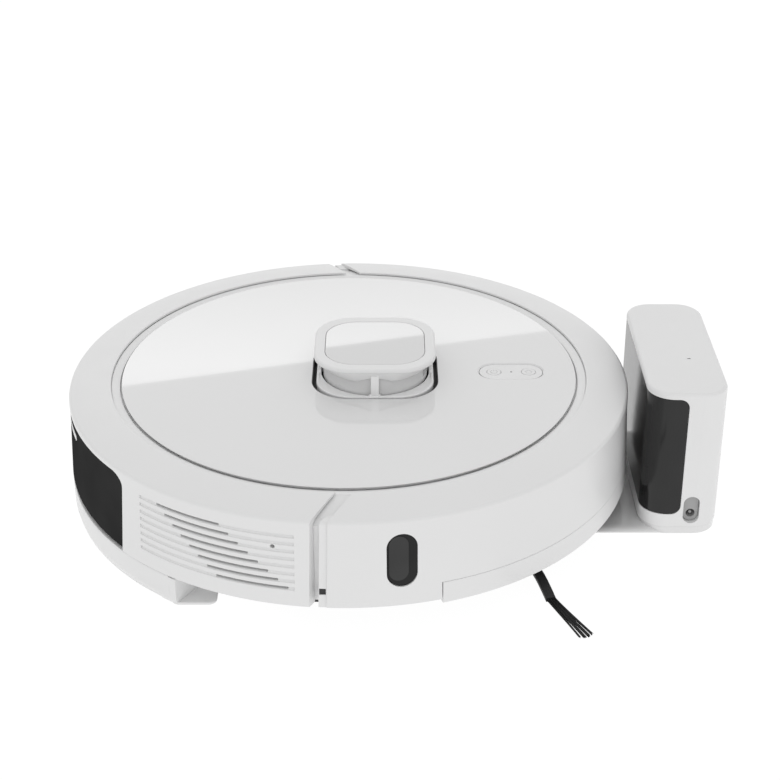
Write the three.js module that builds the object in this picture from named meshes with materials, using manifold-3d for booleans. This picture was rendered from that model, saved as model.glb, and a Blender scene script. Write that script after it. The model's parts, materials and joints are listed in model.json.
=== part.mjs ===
// Robotic floor cleaner on its charging dock.
// Units are millimetres, +Z is up and the floor is z = 0. Inside this file the robot's axis is x = y = 0,
// +X is forward (towards the dock) and +Y is the robot's left. The exported group is shifted along X,
// so that its origin is the centre of the whole footprint.
import * as THREE from "three";
import { mergeVertices } from "three/addons/utils/BufferGeometryUtils.js";
import Module from "manifold-3d";

const wasm = await Module();
wasm.setup();

// ---- driving dimensions ----
const GAP = 0.35; // clearance between pieces that touch on the real machine
const ROUND = 60; // sides of the large circles
const BODY_R = 175; // outer radius of the round body at its shoulder
const SKIRT_R = 177.2; // the wall widens to this at its bottom edge
const TAPER_Z = 70; // the wall starts to widen below this height
const SHELL_IN_R = 171.2; // inside of the shell wall
const TOP_Z = 82.4; // highest point of the top ring
const PAN_Z = 10; // underside of the base pan
const PAN_TOP = 13;
const LID_R = 142.4;
const RING_IN_R = 148.9; // inner edge of the top ring
const LID_TOP = 81.3;
const LID_BOTTOM = 78.4;
const DECK_TOP = 78;
const DECK_BOTTOM = 75.7;
const FRAME_TOP = 75.3; // top of everything that stands under the deck
const FRAME_R = 165; // outside of the fixed wall behind the bumper
const BULKHEAD_X = -41; // front face of the wall between works and tank
const BAY_X = -44; // front end of the tank bay

const SEAM_SLOPE = 0.54; // the seams run forward as they run inward
const BUMPER_SEAM = { x: -8.4, y: 173.6 };
const REAR_SEAM = { x: -18.1, y: 172.8 };
const WALL_BOTTOM = 24;
const STRIP = { low: 21.2, high: 35.1, angle: 72, r: 173.3 };
const SENSOR_WINDOW = { angle: -79.55, width: 17.5, low: 36.1, high: 69.7 };
const VENT = { count: 8, top: 68.5, pitch: 4.75, from: -127.6, to: -113.5, shift: 1.9 };

const TURRET = { x: 16.3, y: 1, drum: 30, bore: 33.6, capTop: 100.4 };
const PILL = { x: 102, y: -1.2, length: 42.3, width: 22.6 };
const BUTTON_X = [91.3, 113.1];
const BUTTON_R = 4.4;

const WHEEL = { x: -2, r: 35, inner: 103, outer: 127, pivotX: 46, pivotZ: 40 };
const CASTER = { x: 112, trail: 6, r: 13, halfWidth: 8 };
const SIDE_BRUSH = { x: 103, y: -99 };
const ROLLER = { x: -6, z: 22.5, r: 21.5, half: 80 };
const BATTERY = { x0: 40, x1: 84, half: 58, top: 50 };
const CONTACT = { x: 149, y: 19, length: 12, width: 11, pin: 3.4 };
const WINDOW_HALF = 119.2; // half width of the tank opening
const WINDOW_TOP = 75.2;
const RELEASE = { half: 63, low: 64.8, high: 68.8 };
const BRACKET_TOP = 23.8;
const SIDE_SLOPE_X = 65; // the pan is full width in front of this and slopes up behind it

const DOCK = { x0: 180.5, x1: 229, half: 64, top: 98, corner: 16 };
const PLATE = { x0: 136, top: 3 };
const ORIGIN_X = 27; // the middle of the whole row of robot and dock

// ---- materials ----
const paint = (color, roughness, metalness = 0) => new THREE.MeshStandardMaterial({ color, roughness, metalness });
const MAT = {
  satinWhite: paint(0xe2e2e2, 0.35),
  glossWhite: paint(0xe4e4e4, 0.12),
  darkPlastic: paint(0x2c2d2f, 0.5),
  greyPlastic: paint(0x9a9a9a, 0.45),
  smoked: paint(0x303032, 0.1),
  rubber: paint(0x242424, 0.85),
  bristle: paint(0x101010, 0.6),
  cloth: paint(0xc9ccd0, 0.95),
  metal: paint(0xc8c8c8, 0.25, 1),
  board: paint(0x1f5a38, 0.6),
  battery: paint(0x2b3f66, 0.5),
};

// ---- solids ----
const rad = THREE.MathUtils.degToRad;
const polar = (r, angle) => [r * Math.cos(rad(angle)), r * Math.sin(rad(angle))];

function solid(geometry) {
  for (const name of Object.keys(geometry.attributes)) {
    if (name !== "position") geometry.deleteAttribute(name);
  }
  const merged = mergeVertices(geometry, 1e-4);
  return new wasm.Manifold(
    new wasm.Mesh({
      numProp: 3,
      vertProperties: merged.attributes.position.array,
      triVerts: new Uint32Array(merged.index.array),
    }),
  );
}

const join = (...solids) => solids.reduce((all, one) => all.add(one));
const cut = (body, ...tools) => tools.reduce((left, tool) => left.subtract(tool), body);

// A plan outline (XY) raised from z0 to z1.
function raise(shape, z0, z1, curveSegments = 10) {
  const geometry = new THREE.ExtrudeGeometry(shape, { depth: z1 - z0, bevelEnabled: false, curveSegments });
  return solid(geometry.translate(0, 0, z0));
}

// An outline drawn in (y, z) pushed along X from x0 to x1.
function pushX(shape, x0, x1, curveSegments = 10) {
  const geometry = new THREE.ExtrudeGeometry(shape, { depth: x1 - x0, bevelEnabled: false, curveSegments });
  return solid(geometry.rotateY(Math.PI / 2).rotateX(Math.PI / 2).translate(x0, 0, 0));
}

// An outline drawn in (x, z) pushed along Y from y0 to y1.
function pushY(shape, y0, y1, curveSegments = 10) {
  const geometry = new THREE.ExtrudeGeometry(shape, { depth: y1 - y0, bevelEnabled: false, curveSegments });
  return solid(geometry.rotateX(Math.PI / 2).translate(0, y1, 0));
}

function block(x0, x1, y0, y1, z0, z1) {
  const geometry = new THREE.BoxGeometry(x1 - x0, y1 - y0, z1 - z0);
  return solid(geometry.translate((x0 + x1) / 2, (y0 + y1) / 2, (z0 + z1) / 2));
}

// Upright cylinder.
function post(x, y, r, z0, z1, sides = 24) {
  const geometry = new THREE.CylinderGeometry(r, r, z1 - z0, sides).rotateX(Math.PI / 2);
  return solid(geometry.translate(x, y, (z0 + z1) / 2));
}

// Cylinder along Y.
function rod(x, z, r, y0, y1, sides = 24) {
  const geometry = new THREE.CylinderGeometry(r, r, y1 - y0, sides);
  return solid(geometry.translate(x, (y0 + y1) / 2, z));
}

// A closed profile of [radius, z] points, listed anticlockwise, turned about the Z axis.
function turned(profile, sides = ROUND) {
  const points = [...profile, profile[0]].map(([r, z]) => new THREE.Vector2(r, z));
  return solid(new THREE.LatheGeometry(points, sides).rotateX(Math.PI / 2));
}

function outline(points) {
  return new THREE.Shape(points.map(([x, y]) => new THREE.Vector2(x, y)));
}

function rounded(x0, x1, y0, y1, r) {
  const shape = new THREE.Shape();
  shape.moveTo(x0 + r, y0).lineTo(x1 - r, y0).absarc(x1 - r, y0 + r, r, -Math.PI / 2, 0);
  shape.lineTo(x1, y1 - r).absarc(x1 - r, y1 - r, r, 0, Math.PI / 2);
  shape.lineTo(x0 + r, y1).absarc(x0 + r, y1 - r, r, Math.PI / 2, Math.PI);
  shape.lineTo(x0, y0 + r).absarc(x0 + r, y0 + r, r, Math.PI, 1.5 * Math.PI);
  return shape;
}

const disc = (r, z0, z1, sides = ROUND) => post(0, 0, r, z0, z1, sides);

// A wedge of plan between two angles, about the Z axis.
function wedge(from, to, z0, z1, reach = 190, step = 10) {
  const steps = Math.max(1, Math.ceil((to - from) / step));
  const arc = Array.from({ length: steps + 1 }, (_, i) => polar(reach, from + ((to - from) * i) / steps));
  return raise(outline([[0, 0], ...arc]), z0, z1);
}

// Everything in front of the pair of seams that pass through `seam`, pushed forward by `ahead`.
function inFrontOf(seam, ahead = 0, z0 = 0, z1 = 120) {
  const at = (y) => seam.x + ahead + (seam.y - y) * SEAM_SLOPE;
  return raise(outline([[at(200), -200], [300, -200], [300, 200], [at(200), 200], [at(120), 120], [at(120), -120]]), z0, z1);
}

// A pill on the cylindrical wall, as a bar that passes through the wall at an angle.
function wallBar(angle, width, low, high, r0, r1) {
  const half = width / 2;
  const bar = raise(rounded(low, high, -half, half, half - 0.01), 0, r1 - r0, 8).rotate([0, -90, 0]);
  return bar.scale([-1, 1, 1]).translate([r0, 0, 0]).rotate([0, 0, angle]);
}

// ---- the scene graph ----
const robot = new THREE.Group();

function part(name, body, material) {
  const mesh = body.getMesh();
  const geometry = new THREE.BufferGeometry();
  geometry.setAttribute("position", new THREE.BufferAttribute(new Float32Array(mesh.vertProperties), 3));
  geometry.setIndex(new THREE.BufferAttribute(new Uint32Array(mesh.triVerts), 1));
  geometry.computeVertexNormals();
  const piece = new THREE.Mesh(geometry, material);
  piece.name = name;
  robot.add(piece);
}

const SIDES = [
  { name: "left", sign: 1 },
  { name: "right", sign: -1 },
];

// ---- outer shell: rear shell and bumper share one section ----
const SHELL_SECTION = [
  [SHELL_IN_R, WALL_BOTTOM], [SKIRT_R, WALL_BOTTOM], [BODY_R, TAPER_Z], [BODY_R, 76], [174.2, 78.3], [172.6, 79.2],
  [163, 80.9], [RING_IN_R, TOP_Z], [RING_IN_R, 80.9], [154, 80.6], [168, 77.6], [SHELL_IN_R, 75],
];

function windowOpening(inset) {
  const half = WINDOW_HALF - inset;
  return pushX(rounded(-half, half, -20, WINDOW_TOP - inset, 8), -200, -100, 6);
}

function makeRearShell() {
  const behind = cut(block(-200, 60, -200, 200, 0, 120), inFrontOf(REAR_SEAM));
  let shell = turned(SHELL_SECTION).intersect(behind);
  // thin lip at the seam, so that the bumper's end flange can slide inside it
  const lip = turned([[170, 0], [173.7, 0], [173.7, 77], [170, 77]]).intersect(inFrontOf(REAR_SEAM, -6));
  shell = cut(shell, lip, windowOpening(0));
  const ledge = turned([[150, WALL_BOTTOM], [172, WALL_BOTTOM], [172, 26.4], [150, 26.4]]);
  const beside = (sign) => block(-140, BAY_X - GAP, Math.min(119 * sign, 180 * sign), Math.max(119 * sign, 180 * sign), 0, 60);
  shell = join(shell, ...SIDES.map(({ sign }) => ledge.intersect(beside(sign))).map((l) => cut(l, windowOpening(0))));
  for (let row = 0; row < VENT.count; row += 1) {
    const z = VENT.top - row * VENT.pitch;
    const slot = turned([[170, z - 0.9], [176, z - 0.9], [176, z + 0.9], [170, z + 0.9]]);
    const lag = row * VENT.shift;
    shell = cut(shell, slot.intersect(wedge(VENT.from + lag, VENT.to + lag, 20, 80)));
  }
  return cut(shell, wallBar(-103, 2.6, 59.7, 62.3, 165, 180));
}

function makeBumper() {
  const front = inFrontOf(BUMPER_SEAM);
  let bumper = turned(SHELL_SECTION).intersect(front);
  const apron = turned([[SHELL_IN_R, STRIP.low], [172.9, STRIP.low], [172.9, 25.5], [SHELL_IN_R, 25.5]]);
  bumper = join(bumper, apron.intersect(wedge(-STRIP.angle, STRIP.angle, 0, 60)));
  const flange = turned([
    [SHELL_IN_R, WALL_BOTTOM], [SKIRT_R - 0.9, WALL_BOTTOM], [BODY_R - 0.9, TAPER_Z], [BODY_R - 0.9, 76.2], [173, 77.4],
    [SHELL_IN_R, 74.5],
  ]);
  const ends = cut(inFrontOf(BUMPER_SEAM, -6.3), inFrontOf(BUMPER_SEAM, 1));
  bumper = join(bumper, flange.intersect(ends));
  const stripSeat = turned([[172.9, 0], [180, 0], [180, STRIP.high + GAP], [172.9, STRIP.high + GAP]]);
  bumper = cut(bumper, stripSeat.intersect(wedge(-STRIP.angle - 0.1, STRIP.angle + 0.1, 0, 60)));
  return cut(bumper, wallBar(SENSOR_WINDOW.angle, SENSOR_WINDOW.width, SENSOR_WINDOW.low, SENSOR_WINDOW.high, 165, 180));
}

function makeShell() {
  part("rear_shell", makeRearShell(), MAT.satinWhite);
  part("bumper", makeBumper(), MAT.satinWhite);
  const { low, high, angle, r } = STRIP;
  const strip = turned([[r, low], [SKIRT_R, low], [SKIRT_R - 0.5, high], [r, high]]);
  part("bumper_strip", strip.intersect(wedge(-angle + 0.1, angle - 0.1, 0, 60)), MAT.satinWhite);
  const { width, low: wLow, high: wHigh } = SENSOR_WINDOW;
  const pane = turned([[172.6, 30], [176.1, 30], [174.4, 70], [174.4, 74], [172.6, 74]]);
  const bar = wallBar(SENSOR_WINDOW.angle, width - 2 * GAP, wLow + GAP, wHigh - GAP, 165, 180);
  part("wall_sensor_window", pane.intersect(bar), MAT.smoked);
  for (const { name, sign } of SIDES) {
    const spring = block(FRAME_R + GAP, SHELL_IN_R - GAP, -4, 4, 44, 52).rotate([0, 0, 38 * sign]);
    part(`bumper_spring_${name}`, spring, MAT.rubber);
  }
}

// ---- fixed frame ----
function wheelWell(sign) {
  const y0 = sign > 0 ? 98.5 : -131;
  return block(-39.5, 43, y0, y0 + 32.5, 0, 40);
}

function makePan() {
  const pan = turned([[0, PAN_Z], [160, PAN_Z], [168, 16], [168, 19], [165.2, 19], [165.2, 17.6], [159, PAN_TOP], [0, PAN_TOP]]);
  // the sides slope up from further in, so that nothing shows below the wall
  const sloped = turned([[0, PAN_Z], [146, PAN_Z], [164, 19], [160, 19], [144.6, PAN_TOP], [0, PAN_TOP]]);
  const front = join(
    pan.intersect(block(SIDE_SLOPE_X, 180, -180, 180, 0, 60)),
    sloped.intersect(block(BULKHEAD_X + GAP, SIDE_SLOPE_X, -180, 180, 0, 60)),
    sloped.intersect(block(BAY_X, BULKHEAD_X + 1, -180, 180, 0, PAN_TOP)),
  );
  const holes = [
    block(-34, 22, -88, 88, 0, 40),
    block(BATTERY.x0 - 4, BATTERY.x1 + 4, -BATTERY.half - 4, BATTERY.half + 4, 0, 40),
    post(CASTER.x, 0, 23, 0, 40),
    post(SIDE_BRUSH.x, SIDE_BRUSH.y, 15, 0, 40),
    ...SIDES.map(({ sign }) => wheelWell(sign)),
    ...SIDES.map(({ sign }) => contactBlock(sign, GAP, 0, 40)),
  ];
  return cut(front, ...holes);
}

function contactBlock(sign, grow, z0, z1) {
  const { x, y, length, width } = CONTACT;
  return block(x - length / 2 - grow, x + length / 2 + grow, y * sign - width / 2 - grow, y * sign + width / 2 + grow, z0, z1);
}

function makeFrame() {
  part("base_pan", makePan(), MAT.darkPlastic);
  const wall = turned([[161.5, 19.4], [FRAME_R, 19.4], [FRAME_R, FRAME_TOP], [161.5, FRAME_TOP]]);
  part("bumper_frame", wall.intersect(block(-28, 180, -180, 180, 0, 100)), MAT.darkPlastic);
  const bulkhead = block(BAY_X + GAP, BULKHEAD_X, -150, 150, PAN_TOP + GAP, FRAME_TOP);
  part("bulkhead", cut(bulkhead, block(-50, -30, -30, 30, 30, 54)), MAT.darkPlastic);
  const deck = turned([
    [0, DECK_BOTTOM], [164, DECK_BOTTOM], [160, 77.4], [149.5, 80.1], [148.4, 80.6], [143.2, 79.9], [143.2, DECK_TOP], [0, DECK_TOP],
  ]);
  part("top_deck", cut(deck, raise(turretHole(79, 78), 60, 90, 6)), MAT.satinWhite);
  for (const { name, sign } of SIDES) {
    part(`charge_contact_${name}`, contactBlock(sign, 0, PAN_Z - 0.6, PAN_TOP - 0.4), MAT.metal);
  }
}

// ---- lid, turret and buttons ----
function turretHole(lengthX, lengthY) {
  const { x, y } = TURRET;
  return rounded(x - lengthX / 2, x + lengthX / 2, y - lengthY / 2, y + lengthY / 2, 24);
}

function pillOutline(inset) {
  const halfL = PILL.length / 2 - inset;
  const halfW = PILL.width / 2 - inset;
  return rounded(PILL.x - halfL, PILL.x + halfL, PILL.y - halfW, PILL.y + halfW, halfW - 0.01);
}

function makeLid() {
  const edge = [[0, LID_BOTTOM], [LID_R, LID_BOTTOM], [LID_R, LID_TOP - 0.6], [141.7, LID_TOP], [0, LID_TOP]];
  const stems = BUTTON_X.map((x) => post(x, PILL.y, 2.6, 60, 90, 8));
  const lid = cut(turned(edge), raise(turretHole(79, 78), 60, 90, 6), raise(pillOutline(0), 79.4, 90, 6), ...stems);
  part("top_lid", lid, MAT.glossWhite);
  const holes = BUTTON_X.map((x) => post(x, PILL.y, BUTTON_R + GAP, 60, 90, 18));
  part("button_panel", cut(raise(pillOutline(GAP), 79.7, 80.7, 6), ...holes), MAT.satinWhite);
  ["power_button", "home_button"].forEach((name, i) => {
    const x = BUTTON_X[i];
    part(name, join(post(x, PILL.y, BUTTON_R, 80.15, 81.1, 18), post(x, PILL.y, 2, DECK_TOP + 0.8, 80.5, 8)), MAT.satinWhite);
  });
}

function makeTurret() {
  const { x, y, bore, drum, capTop } = TURRET;
  const base = raise(turretHole(74, 75.4), 76.6, 82, 5);
  const plate = raise(turretHole(75.6, 76), capTop - 2.8, capTop, 5);
  // the underside narrows to the round bore that the drum turns in
  const cone = turned([[0, 90.4], [34.4, 90.4], [44, 97.7], [0, 97.7]]).translate([x, y, 0]);
  const neck = cone.intersect(raise(turretHole(75.4, 75.8), 90, 98, 5));
  const posts = [0, 90, 180, 270].map((angle) => block(35, 36.6, -2.6, 2.6, 80, 95).rotate([0, 0, angle]).translate([x, y, 0]));
  const inside = post(x, y, bore, 60, 96, 28);
  const cage = cut(join(base, plate, neck, ...posts), inside, raise(turretHole(62, 60), capTop - 1.4, 120, 5));
  part("turret_cage", cage, MAT.satinWhite);
  part("turret_top_panel", raise(turretHole(61.3, 59.3), capTop - 1.1, capTop, 5), MAT.glossWhite);
  const top = post(x, y, drum, 78.4, 94.8, 32);
  const eye = block(x + 12, x + 40, y - 14, y + 14, 82.5, 90);
  part("lidar_drum", join(cut(top, eye), post(x, y, 11, 75.2, 80, 24)), MAT.greyPlastic);
  const seat = cut(raise(turretHole(86, 85), 71.6, 74.8, 6), post(x, y, 5, 60, 90, 16));
  part("lidar_base", seat, MAT.darkPlastic);
  part("lidar_motor", join(post(x, y, 13, 54, 71.2, 20), post(x, y, 4.6, 71, 74.8, 16)), MAT.metal);
}

// ---- works inside the body ----
function makeInside() {
  const { x0, x1, half, top } = BATTERY;
  part("battery_pack", raise(rounded(x0, x1, -half, half, 5), PAN_TOP + 0.4, top, 4), MAT.battery);
  part("battery_cover", block(x0 - 3.6, x1 + 3.6, -half - 3.6, half + 3.6, PAN_Z, PAN_TOP - 0.4), MAT.darkPlastic);
  part("main_board", raise(rounded(36, 124, -70, 70, 6), 54, 55.6, 4), MAT.board);
  const can = post(-10, 52, 30, 48, 66, 32);
  const duct = block(-40, -18, 30, 50, 50, 64);
  part("fan_housing", cut(join(can, duct), post(-10, 52, 27, 49.5, 70, 32), block(-45, -20, 32, 48, 52, 62)), MAT.darkPlastic);
  const blade = (i) => block(6, 24.5, -0.7, 0.7, 51.5, 62).rotate([0, 0, i * 40]).translate([-10, 52, 0]);
  const disc0 = join(post(-10, 52, 25, 50.2, 52, 32), post(-10, 52, 7, 50.2, 64, 16));
  part("fan_impeller", join(disc0, ...Array.from({ length: 9 }, (_, i) => blade(i))), MAT.greyPlastic);
}

// ---- main brush ----
function makeMainBrush() {
  const { x, z, r, half } = ROLLER;
  const arch = cut(block(-33.6, 21.6, -87.6, 87.6, PAN_TOP + 0.3, 46), block(-31.6, 19.6, -85.6, 85.6, 0, 44.4));
  part("brush_housing", cut(arch, block(-60, -20, -28, 28, 31, 43.4)), MAT.darkPlastic);
  const flaps = Array.from({ length: 6 }, (_, i) =>
    block(7, r, -half, half, -1.3, 1.3).rotate([0, i * 60, 0]).translate([x, 0, z]),
  );
  part("brush_roller", join(rod(x, z, 9, -half, half, 18), rod(x, z, 3.5, -85, 85, 12), ...flaps), MAT.rubber);
  const guard = cut(block(-36, 24, -92, 92, 7.6, PAN_Z - GAP), block(-30, 18, -84, 84, 0, 20));
  part("brush_guard", guard, MAT.greyPlastic);
  part("brush_gearbox", block(-30, 8, 88, 97.4, PAN_TOP + GAP, 38), MAT.darkPlastic);
}

// ---- side brush ----
// The three arms curve back and the tufts sweep forward: [radius, angle] down each arm.
const ARM_LINE = [[9, -54], [18, -60.6], [30, -66.4], [38, -69], [46, -70.8]];
const TUFT_LINE = [[47.3, -70.8], [58, -68.6], [71, -66.4], [84, -64.7]];

function band(line, widthAt, turn, lowAt, thickness) {
  // a flat band that follows `line`, made of one wedge-shaped box per stretch
  const points = line.map(([r, a]) => polar(r, a + turn));
  const pieces = points.slice(1).map((end, i) => {
    const start = points[i];
    const length = Math.hypot(end[0] - start[0], end[1] - start[1]);
    const normal = [-(end[1] - start[1]) / length, (end[0] - start[0]) / length];
    const corner = (p, w, side, z) => new THREE.Vector3(p[0] + normal[0] * w * side, p[1] + normal[1] * w * side, z);
    const [w0, w1] = [widthAt(i) / 2, widthAt(i + 1) / 2];
    const ring = (p, w, low) => [
      corner(p, w, -1, low), corner(p, w, 1, low), corner(p, w, 1, low + thickness), corner(p, w, -1, low + thickness),
    ];
    return wasm.Manifold.hull([...ring(start, w0, lowAt(i)), ...ring(end, w1, lowAt(i + 1))].map((v) => v.toArray()));
  });
  return join(...pieces).translate([SIDE_BRUSH.x, SIDE_BRUSH.y, 0]);
}

function makeSideBrush() {
  const { x, y } = SIDE_BRUSH;
  part("side_brush_motor", join(post(x, y, 17, 17, 42, 24), post(x, y, 3, 14.2, 18, 12)), MAT.darkPlastic);
  const arms = [0, 120, 240].map((turn) => band(ARM_LINE, () => 6.4, turn, (i) => 6.2 - 0.35 * i, 2.6));
  const hub = join(post(x, y, 13, 5.8, 9.6, 24), post(x, y, 9, 9, 13.8, 24));
  part("side_brush_hub", join(hub, ...arms), MAT.rubber);
  [0, 120, 240].forEach((turn, i) => {
    const tuft = band(TUFT_LINE, (k) => 4.6 + 1.2 * k, turn, (k) => 4.9 - 0.4 * k, 2.4 - 0.2);
    part(`bristle_tuft_${i + 1}`, tuft, MAT.bristle);
  });
}

// ---- drive wheels and caster ----
function coil(x, y, z0, z1, r, wire, turns) {
  const steps = turns * 8;
  const points = Array.from({ length: steps + 1 }, (_, i) => {
    const a = (2 * Math.PI * turns * i) / steps;
    return new THREE.Vector3(x + r * Math.cos(a), y + r * Math.sin(a), z0 + wire + ((z1 - z0 - 2 * wire) * i) / steps);
  });
  const section = new THREE.Shape().absarc(0, 0, wire, 0, 2 * Math.PI);
  const path = new THREE.CatmullRomCurve3(points);
  return solid(new THREE.ExtrudeGeometry(section, { steps, curveSegments: 2, bevelEnabled: false, extrudePath: path }));
}

function makeWheel({ name, sign }) {
  const { x, r, inner, outer, pivotX, pivotZ } = WHEEL;
  const span = (a, b) => (sign > 0 ? [a, b] : [-b, -a]);
  const [t0, t1] = span(inner, outer);
  const lugs = Array.from({ length: 12 }, (_, i) =>
    block(-3, 3, t0, t1, r - 3, r).rotate([0, i * 30, 0]).translate([x, 0, r]),
  );
  const tyre = cut(join(rod(x, r, r - 1.4, t0, t1, 36), ...lugs), rod(x, r, 28, -200, 200, 36));
  part(`wheel_tyre_${name}`, tyre, MAT.rubber);
  const [h0, h1] = span(inner + 0.6, outer - 0.6);
  const recess = span(outer - 4, outer + 4);
  const hub = cut(rod(x, r, 28 - GAP, h0, h1, 36), cut(rod(x, r, 23, ...recess, 30), rod(x, r, 9, ...recess, 24)));
  part(`wheel_hub_${name}`, cut(hub, rod(x, r, 3.3, -200, 200, 16)), MAT.greyPlastic);
  const [a0, a1] = span(99.4, 102.4);
  const bar = block(0, pivotX - x, a0, a1, -11, 11).rotate([0, (Math.atan2(r - pivotZ, pivotX - x) * 180) / Math.PI, 0]);
  const motor = span(88.5, 100);
  const [s0, s1] = span(89.5, 100);
  const seat = block(28, 40, s0, s1, 45.6, 48.6);
  const web = block(34, 44, a0, a1, 34, 47);
  const arm = join(
    rod(x, r, 14, a0, a1, 28), rod(pivotX, pivotZ, 11, a0, a1, 24), bar.translate([x, 0, r]),
    rod(19, 60, 9, ...motor, 20), block(10, 40, a0, a1, 42, 66), web, seat,
    rod(x, r, 3, ...span(100, outer - 1), 16),
  );
  part(`suspension_arm_${name}`, arm, MAT.darkPlastic);
  part(`suspension_spring_${name}`, coil(34, 94 * sign, 49, FRAME_TOP, 3.6, 0.8, 4), MAT.metal);
}

function makeCaster() {
  const { x, trail, r, halfWidth } = CASTER;
  const axleX = x - trail;
  const cup = turned([[4.5, 27], [23.6, 27], [23.6, PAN_TOP + GAP], [26, PAN_TOP + GAP], [26, 40], [4.5, 40]], 28);
  part("caster_socket", cup.translate([x, 0, 0]), MAT.darkPlastic);
  const legs = [1, -1].map((side) => {
    const [y0, y1] = side > 0 ? [halfWidth + 0.6, halfWidth + 3] : [-halfWidth - 3, -halfWidth - 0.6];
    return join(block(axleX - 5, axleX + 7, y0, y1, r, 26.4), rod(axleX, r, 5, y0, y1, 16));
  });
  const fork = join(post(x, 0, 19, 23.4, 26.4, 22), post(x, 0, 4, 26, 44, 12), ...legs);
  const wheelRoom = rod(axleX, r, r + 1.2, -halfWidth - 0.5, halfWidth + 0.5, 28);
  part("caster_fork", cut(fork, wheelRoom, rod(axleX, r, 1.9, -30, 30, 14)), MAT.darkPlastic);
  part("caster_wheel", cut(rod(axleX, r, r, -halfWidth, halfWidth, 32), rod(axleX, r, 1.95, -30, 30, 14)), MAT.satinWhite);
  part("caster_axle", rod(axleX, r, 1.5, -halfWidth - 2.8, halfWidth + 2.8, 14), MAT.metal);
}

// ---- tank and mop at the rear ----
function makeTank() {
  const pane = turned([
    [SHELL_IN_R + GAP, 24.4], [SKIRT_R - 0.3, 24.4], [BODY_R - 0.3, TAPER_Z], [BODY_R - 0.3, 75], [SHELL_IN_R + GAP, 75],
  ]);
  const behind = windowOpening(0.4);
  const barAngle = (RELEASE.half / BODY_R) * (180 / Math.PI);
  const releaseRing = (r0, r1, grow) => {
    const [low, high] = [RELEASE.low - grow, RELEASE.high + grow];
    const sweep = wedge(180 - barAngle - grow * 0.7, 180 + barAngle + grow * 0.7, 0, 100, 190, 6);
    return turned([[r0, low], [r1, low], [r1, high], [r0, high]]).intersect(sweep);
  };
  part("tank_window", cut(pane.intersect(behind), releaseRing(160, 180, 0.4)), MAT.smoked);
  part("tank_release", releaseRing(SHELL_IN_R + 0.6, BODY_R - 0.1, 0), MAT.satinWhite);

  const bay = pushX(rounded(-117, 117, 0, 74.6, 8), -180, BAY_X - 3, 5);
  const upper = disc(SHELL_IN_R - 0.2, BRACKET_TOP + GAP, 74.6).intersect(bay);
  const lower = disc(167, 9, 25).intersect(block(-180, BAY_X - 3, -112, 112, 0, 60));
  const room = disc(166, 27, 71).intersect(block(-180, -50, -113, 113, 0, 100));
  const mouth = block(-60, -40, -30, 30, 31, 53);
  const filterSeat = block(-56, -40, 45 - GAP, 95 + GAP, 34 - GAP, 64 + GAP);
  const releasePocket = releaseRing(168.2, 180, 0.6);
  part("tank_body", cut(join(upper, lower), room, mouth, filterSeat, releasePocket), MAT.greyPlastic);
  part("tank_filter", block(-52, BAY_X - 3.2, 45, 95, 34, 64), MAT.cloth);
}

function makeMop() {
  const plan = cut(disc(175, 5.4, 8.4).intersect(block(-200, -64, -200, 200, 0, 50)),
    block(-101.6, 0, -200, -120, 0, 50), block(-101.6, 0, 120, 200, 0, 50));
  const rim = cut(turned([[169.5, 5.4], [175, 5.4], [176.4, 9], [176.4, BRACKET_TOP], [169.5, BRACKET_TOP]]), block(-101.6, 200, -200, 200, 0, 50));
  const tabs = SIDES.map(({ sign }) => {
    const [y0, y1] = sign > 0 ? [122, 146.4] : [-146.4, -122];
    return raise(rounded(-106, -74.7, y0, y1, 4), 4.6, 6.8, 4);
  });
  part("mop_bracket", join(plan, rim, ...tabs), MAT.satinWhite);
  const pad = cut(disc(164, 0, 4.2).intersect(block(-200, -68, -116, 116, 0, 50)));
  part("mop_pad", pad, MAT.cloth);
}

// ---- charging dock ----
function dockOutline(inset) {
  const { x0, x1, half, corner } = DOCK;
  return rounded(x0 + inset, x1 - inset, -half + inset, half - inset, corner - inset);
}

const DOCK_PANEL = { top: 94.2, bottom: 14, depth: 204.4, inset: 1.2 };
const DOCK_INLET = { x: 211.2, low: 7.6, high: 26.6, width: 10 };

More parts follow.
